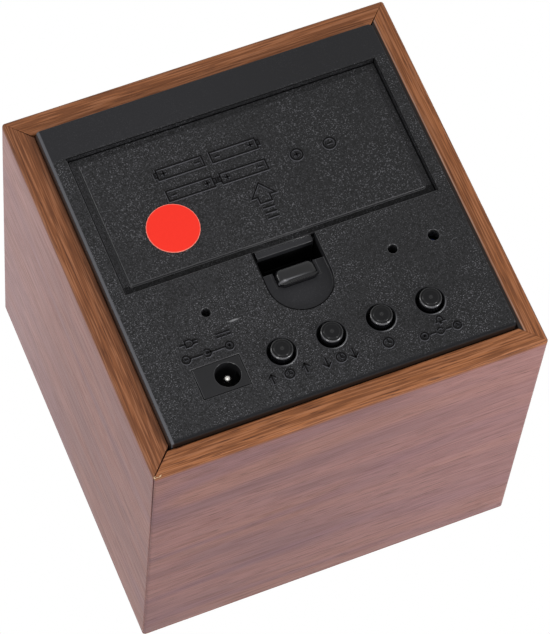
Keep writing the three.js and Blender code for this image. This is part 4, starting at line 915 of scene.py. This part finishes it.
rimCrest = (edgeRounds["plateTop"], onPlateRim, edgeRounds["plateRim"])
lipCrest = (edgeRounds["lipTop"], onLip, edgeRounds["lip"])
softened("rear_housing", "rearHousing", "case", edgeRounds["housing"], crest=rimCrest)
softened("battery_door", "batteryDoor", "door", edgeRounds["door"], sharpness=30)
softened("door_latch", "doorLatch", "latch", edgeRounds["latch"], latchPlastic, lipPlastic, crest=lipCrest)
softened("jack_body", "socketBody", "case", edgeRounds["socket"], jackPlastic)
lipSetup = {
    "x": (-3.75, 2.65), "z": (22.0, 25.05), "corner": 1.1,
    "foot": 30.4, "rim": 30.45, "rise": 0.97,
}
cheekSetup = {
    "z": (22.5, 25.0), "foot": 29.6,
    "floor": 30.58, "floorFrom": 17.15, "slope": 0.6 / 11.6,
}
cheeks = {"notchCheekRight": (2.7, 3.1), "notchCheekLeft": (-4.2, -3.8)}


def lipCrown(setup):
    # a cushion: its height falls with the distance past the line between the middles of its round ends,
    # as the root of one less that distance's share to the power 2.5
    (left, right), (low, high), corner = setup["x"], setup["z"], setup["corner"]
    half = (high - low) / 2
    angle = np.linspace(0, 2 * np.pi, 72, endpoint=False) + np.pi / 72
    reach = np.array([(right - left) / 2, half])
    turn = np.stack([np.cos(angle), np.sin(angle)], axis=-1)
    outline = np.sign(turn) * (reach - corner) + corner * turn
    spine = np.clip(outline, [half - reach[0], 0], [reach[0] - half, 0])
    share = np.concatenate([[1.0, 1.0], np.cos(np.linspace(0, np.pi / 2, 16)[1:-1]) ** 0.8, [0.02]])[:, None]
    height = setup["rim"] + setup["rise"] * np.sqrt(np.clip(1 - share ** 2.5, 0, 1))
    height[0] = setup["foot"]
    flat = spine + (outline - spine) * share[..., None] + [(left + right) / 2, (low + high) / 2]
    return gridObject("lipCrown", raised(flat, height) * mm)


def notchCheek(sides, name, setup=cheekSetup):
    # a block beside the lip whose top carries on the pocket's sloping floor
    points = [(x, y, z) for x in sides for z in setup["z"]
              for y in (setup["foot"], setup["floor"] - setup["slope"] * (z - setup["floorFrom"]))]
    faces = [(0, 1, 3, 2), (4, 6, 7, 5), (0, 4, 5, 1), (2, 3, 7, 6), (1, 5, 7, 3), (0, 2, 6, 4)]
    return meshObject(name, np.array(points) * mm, faces)


finished(lipCrown(lipSetup), "latch", "black_plastic", lipPlastic, smooth=40)
for name, sides in cheeks.items():
    finished(notchCheek(sides, name), "case", "black_plastic")
print("housing, door, latch and socket made")

# Centre pin of the socket, with a domed tip
pinSetup = {"dome": 0.9, "colour": tone(205, 203, 198), "roughness": 0.16}


def socketPin(setup):
    # the tip is a quarter circle from the pin's side to its axis
    low, high, middle = boxOf("jack_pin")
    radius = (high[0] - low[0]) / 2
    corners = [(0, low[1]), (radius, low[1]), (radius, high[1]), (0, high[1])]
    profile = filleted(corners, [0, 0.02, radius * setup["dome"], 0], 12, closed=False)
    pin = turned("socketPin", profile, (middle[0], middle[2]), sides=40)
    finished(pin, "case", "nickel", platedMetal("pinMetal", setup["colour"], setup["roughness"]), ["jack_pin"])


socketPin(pinSetup)
print("socket pin made")

# Push buttons: stepped caps with a small dimple, each in the rounded collar of its hole, over a guide tube.
# The sides painted with a highlight are those toward these ways along X and Z
buttonSetup = {
    "radius": 1.7, "tip": 32.7, "shoulder": 0.1, "shoulderRound": 0.24, "neck": 0.45,
    "discRadius": 1.2, "discSlope": 0.08, "discShine": 0.15,
    "dimpleRadius": 0.24, "dimpleDepth": 0.07, "dimpleMiddle": 0.17, "dimpleShine": 0.3,
    "flange": 2.15, "flangeTop": 27.8, "foot": 26.7,
    "plate": 31.5,
    "collarInner": 2.2, "collarOuter": 2.44, "collarDepth": 0.2, "collarRise": 0.1,
    "guideFoot": 28.42, "guideGap": 0.08,
    "capGlintWay": (0.448, -0.894), "capSteps": (0.1, 0.8),
    "collarGlintWay": (-0.541, -0.841), "collarSteps": (0.45, 0.95),
}


def facing(offset, way, start, end):
    # how far each point lies toward one side of the middle: the cosine of its angle from that way, softened
    cosine = offset @ np.array(way) / np.maximum(np.linalg.norm(offset, axis=1), 1e-6)
    return eased((cosine - start) / (end - start))


def pushButton(number, setup=buttonSetup):
    middle = boxOf(f"button_plunger_{number}")[2][[0, 2]]
    radius, tip, disc, flange = setup["radius"], setup["tip"], setup["discRadius"], setup["flange"]
    shoulder, dimple, bottom = tip - setup["shoulder"], setup["dimpleRadius"], tip - setup["dimpleDepth"]
    corners = [
        (0, setup["foot"]), (flange, setup["foot"]), (flange, setup["flangeTop"]), (radius, setup["flangeTop"]),
        (radius, shoulder - setup["neck"]), (radius, shoulder), (disc + setup["discSlope"], shoulder), (disc, tip),
        (disc - 0.2, tip), (dimple * 1.5, tip), (dimple, tip), (dimple / 2, bottom), (0, bottom),
    ]
    radii = [0, 0.08, 0.08, 0.05, 0, setup["shoulderRound"], 0.04, 0.06, 0, 0, 0.05, 0.05, 0]
    button = turned(f"button{number}", filleted(corners, radii, 6, closed=False), middle)
    place = pointsOf(button)
    offset = place[:, [0, 2]] - middle
    far = np.linalg.norm(offset, axis=1)
    edges = np.clip((far - radius + 0.2) / 0.12, 0, 1) * (place[:, 1] > shoulder - 0.3)
    rings = setup["discShine"] * (np.abs(far - disc) < 0.05)
    rings = rings + setup["dimpleShine"] * (np.abs(far - setup["dimpleMiddle"]) < 0.09)
    carry(button, "paintedGlint", edges * facing(offset, setup["capGlintWay"], *setup["capSteps"]))
    carry(button, "rim", np.maximum(edges, rings))
    finished(button, f"button_{number}", "button_plastic", replaced=[f"button_plunger_{number}"])
    inner, outer, foot = setup["collarInner"], setup["collarOuter"], setup["guideFoot"]
    low, high = setup["plate"] - setup["collarDepth"], setup["plate"] + setup["collarRise"]
    ring = filleted([(inner, low), (inner, high), (outer, high), (outer, low)], [0, 0.1, 0.13, 0], 6)
    collar = turned(f"buttonCollar{number}", np.concatenate([ring, ring[:1]]), middle)
    offset = pointsOf(collar)[:, [0, 2]] - middle
    carry(collar, "paintedGlint", facing(offset, setup["collarGlintWay"], *setup["collarSteps"]))
    finished(collar, "case", "black_plastic", collarPlastic)
    ledge = radius + setup["guideGap"]
    tube = [(ledge, foot), (ledge, foot + 0.15), (inner, foot + 0.2), (inner, low), (outer, low), (outer, foot)]
    finished(turned(f"buttonGuide{number}", tube + tube[:1], middle), "case", "black_plastic", guidePlastic)


for number in range(1, 5):
    pushButton(number)
print("push buttons made")

# Battery cells: sleeve rolled over at both ends, bare flat end and bare nub
cellSetup = {"nubRadius": 1.9, "nubHeight": 0.9, "sleeveRoll": 0.5, "flatRadius": 3.9}


def batteryCell(number, setup=cellSetup):
    low, high, middle = boxOf(f"battery_cell_{number}")
    length, radius = high[0] - low[0], (high[1] - low[1]) / 2
    way = 1 if boxOf(f"battery_spring_{number}")[2][0] < middle[0] else -1
    start = middle[0] - way * length / 2
    flat, nub, top, roll = setup["flatRadius"], setup["nubRadius"], length - setup["nubHeight"], setup["sleeveRoll"]
    corners = [
        (0, 0), (flat, 0), (flat, 0.25), (radius, 0.25), (radius, top), (nub + 1.2, top), (nub + 1.0, top - 0.2),
        (nub, top - 0.2), (nub, length), (0, length),
    ]
    profile = filleted(corners, [0, 0.15, 0.1, roll, roll, 0.05, 0.05, 0.05, 0.25, 0], 6, closed=False)
    profile[:, 1] = start + way * profile[:, 1]
    cell = turned(f"cell{number}", profile, middle[1:], alongX=True)
    carry(cell, "along", way * (pointsOf(cell)[:, 0] - start) / length)
    finished(cell, "case", "cell_shell", replaced=[f"battery_cell_{number}"])


for number in range(1, 5):
    batteryCell(number)
print("battery cells made")

# Moulded marks: low ridges along lines drawn on the back, as x and z in millimetres
ridgeSetup = {
    "width": 0.46, "section": (-0.5, -0.26, 0.26, 0.5), "height": 0.22, "sunk": 0.06,
    "plate": 31.5, "door": 31.05,
}


def arc(x, z, radius, start=0.0, end=360.0, steps=20):
    angle = np.radians(np.linspace(start, end, steps + 1))
    return np.stack([x + radius * np.cos(angle), z + radius * np.sin(angle)], axis=-1)


def bar(left, right, z):
    return [(left, z), (right, z)]


def minus(x, z, size):
    return [bar(x - size, x + size, z)]


def plus(x, z, size):
    return [*minus(x, z, size), [(x, z - size), (x, z + size)]]


def ringed(sign, x, z, radius, size):
    return [arc(x, z, radius), *sign(x, z, size)]


def clockFace(x, z, radius, up, left, down):
    # a ring, a hand straight up and one to the left and down
    return [arc(x, z, radius), [(x, z), (x, z + up)], [(x, z), (x - left, z - down)]]


def arrow(x, z, size, way):
    tip, wing = z + way * size, z + way * size * 0.2
    return [[(x, z - way * size), (x, tip)], [(x - size * 0.75, wing), (x, tip), (x + size * 0.75, wing)]]


def cellOutline(x, z, way, length=7.4, height=1.8, size=0.45):
    # a box with its nub toward one side, the plus near the nub and the minus at the other end
    half, tall = length / 2, height / 2
    end, back, nub, low = x + way * half, x - way * half, x + way * (half + 0.45), tall * 0.45
    outline = [(end, z + tall), (back, z + tall), (back, z - tall), (end, z - tall), (end, z + tall)]
    nubLines = [(end, z - low), (nub, z - low), (nub, z + low), (end, z + low)]
    sign = way * (half - 1.0)
    return [outline, nubLines, *plus(x + sign, z, size), *minus(x - sign, z, size)]


doorMarks = [
    *cellOutline(9.15, 46.0, 1),
    *cellOutline(0.45, 46.0, -1),
    *cellOutline(9.0, 42.1, -1),
    *cellOutline(0.35, 42.1, 1),
    *ringed(plus, -8.25, 42.0, 0.95, 0.42),
    *ringed(minus, -13.67, 42.1, 0.95, 0.42),
    [(-0.9, 39.5), (1.0, 37.2), (0.05, 37.2), (0.05, 36.1), (-1.85, 36.1), (-1.85, 37.2), (-2.8, 37.2), (-0.9, 39.5)],
    *(bar(0.05, -1.85, z) for z in (35.2, 34.3, 33.4)),
]
plugMarks = [
    bar(20.5, 19.5, 18.0),
    [(19.5, 18.55), (19.5, 17.45), (18.7, 17.45), (18.3, 17.75), (18.3, 18.25), (18.7, 18.55), (19.5, 18.55)],
    *(bar(18.3, 17.6, z) for z in (18.25, 17.75)),
]
currentMarks = [
    bar(14.8, 12.55, 17.95),
    *(bar(left, right, 17.4) for left, right in ((14.8, 14.2), (13.97, 13.38), (13.15, 12.55))),
]
polarityMarks = [
    *ringed(minus, 20.3, 15.6, 0.62, 0.25),
    bar(19.65, 17.65, 15.6),
    arc(17.0, 15.6, 0.6, 50, 310, 14), arc(17.0, 15.6, 0.14, steps=8),
    bar(16.9, 14.1, 15.6),
    *ringed(plus, 13.45, 15.6, 0.62, 0.25),
]
buttonMarks = [
    *arrow(9.6, 8.15, 0.8, 1), *clockFace(6.9, 8.15, 0.72, 0.5, 0.4, 0.2), *arrow(4.3, 8.15, 0.8, 1),
    *arrow(1.1, 7.95, 0.8, -1), *clockFace(-1.2, 7.95, 0.72, 0.5, 0.4, 0.2), *arrow(-3.2, 7.95, 0.8, -1),
    *clockFace(-8.7, 7.7, 0.78, 0.55, 0.45, 0.2),
]
bellMarks = [
    [(-17.9, 8.2), (-17.75, 8.35), (-17.7, 8.75), (-17.45, 9.05), (-17.05, 9.05), (-16.8, 8.75), (-16.75, 8.35),
     (-16.6, 8.2), (-17.9, 8.2)],
    arc(-17.25, 7.95, 0.1, steps=8),
    *clockFace(-19.4, 6.75, 0.6, 0.35, 0.25, 0.15),
    bar(-18.4, -17.5, 6.75),
    arc(-16.7, 6.75, 0.5, 20, 160, 10), arc(-16.7, 6.75, 0.5, 200, 340, 10),
    bar(-15.9, -15.0, 6.75),
    *ringed(plus, -14.1, 6.75, 0.6, 0.22),
]
plateMarks = plugMarks + currentMarks + polarityMarks + buttonMarks + bellMarks


def ridge(line, base, setup, start):
    # a bank carried along the line: its four section points lie across the mitred normal of each point
    line = np.asarray(line, float)
    loop = len(line) > 3 and np.allclose(line[0], line[-1])
    step = unit(np.diff(line, axis=0))
    first, last = (step[-1:], step[:1]) if loop else (step[:1], step[-1:])
    before, after = np.concatenate([first, step]), np.concatenate([step, last])
    normal = unit((after + before)[:, ::-1] * (-1, 1))
    square = after[:, ::-1] * (-1, 1)
    spread = 1 / np.clip((normal * square).sum(axis=1), 0.45, 1)
    across = np.array(setup["section"]) * setup["width"]
    lift = base + np.array([-setup["sunk"], setup["height"], setup["height"], -setup["sunk"]])
    flat = line[:, None, :] + across[None, :, None] * (normal * spread[:, None])[:, None, :]
    return raised(flat, lift).reshape(-1, 3), gridFaces(len(line), 4, start, capped=not loop)


def markPiece(name, lines, base, body, setup=ridgeSetup):
    points, faces, start = [], [], 0
    for line in lines:
        more, moreFaces = ridge(line, base, setup, start)
        points.append(more)
        faces += moreFaces
        start += len(more)
    marks = meshObject(name, np.concatenate(points) * mm, faces)
    finished(marks, body, "black_plastic", mouldedMark(f"{name}Plastic", (base + setup["height"]) * mm), smooth=20)


markPiece("doorMarks", doorMarks, ridgeSetup["door"], "door")
markPiece("plateMarks", plateMarks, ridgeSetup["plate"], "case")
print("moulded marks made:", len(doorMarks) + len(plateMarks), "lines")

# Floor, world and lamps
stageSetup = {
    "floorSize": 3.0, "floorLow": -0.2 * mm, "floorColour": (0.86, 0.86, 0.86, 1),
    "worldForDiffuse": 0.40, "worldForEye": 1.0,
    "lampAim": (0, 0, 0.03),
}


def addFloor(setup):
    half, low = setup["floorSize"] / 2, setup["floorLow"]
    corners = [(-half, -half, low), (half, -half, low), (half, half, low), (-half, half, low)]
    floor = meshObject("floor", corners, [[0, 1, 2, 3]])
    paint = Finish("floorPaint", **{"Base Color": setup["floorColour"], "Roughness": 0.9, "Specular IOR Level": 0.1})
    # seen from below the floor is clear, so that the underside shows
    below = paint.node("ShaderNodeNewGeometry", output="Backfacing")
    clear = paint.node("ShaderNodeBsdfTransparent")
    mixed = paint.node("ShaderNodeMixShader", inputs={0: below, 1: paint.shader, 2: clear})
    paint.feed(paint.output.inputs["Surface"], mixed)
    floor.data.materials.append(paint.material)
    floor.visible_diffuse = floor.visible_glossy = floor.visible_transmission = floor.visible_shadow = False


def addWorld(setup):
    world = bpy.data.worlds.new("world")
    world.use_nodes = True
    sky = Graph(world.node_tree)
    seen = sky.node("ShaderNodeLightPath", output="Is Camera Ray")
    glossy, through = (Link(sky, seen.socket.node.outputs[f"Is {kind} Ray"]) for kind in ("Glossy", "Transmission"))
    plain = seen.atLeast(glossy.atLeast(through))
    level = setup["worldForDiffuse"] + plain * (setup["worldForEye"] - setup["worldForDiffuse"])
    light = sky.node("ShaderNodeBackground", inputs={"Color": (1, 1, 1, 1), "Strength": level})
    sky.node("ShaderNodeOutputWorld", inputs={"Surface": light})
    bpy.context.scene.world = world


lamps = {
    # place, size and watts
    "key": ((0.10, 0.80, -0.10), 0.32, 1.3),
    "side": ((0.40, 0.14, 0.32), 0.24, 0.68),
    "lowRight": ((-0.23, 0.18, -0.27), 0.14, 1.0),
    "lowLeft": ((0.30, 0.20, -0.20), 0.12, 0.45),
    "front": ((-0.35, -0.65, 0.45), 0.50, 4.5),
}


def addLamp(name, place, size, watts):
    data = bpy.data.lights.new(name, "AREA")
    data.shape = "DISK"
    data.size = size
    data.energy = watts
    aim = Vector(stageSetup["lampAim"]) - Vector(place)
    turn = aim.to_track_quat("-Z", "Y").to_matrix().to_4x4()
    linked(name, data).matrix_world = Matrix.Translation(place) @ turn


addFloor(stageSetup)
addWorld(stageSetup)
for name, (place, size, watts) in lamps.items():
    addLamp(name, place, size, watts)
bpy.context.scene.view_settings.view_transform = "Standard"
print("floor, world and lamps placed")
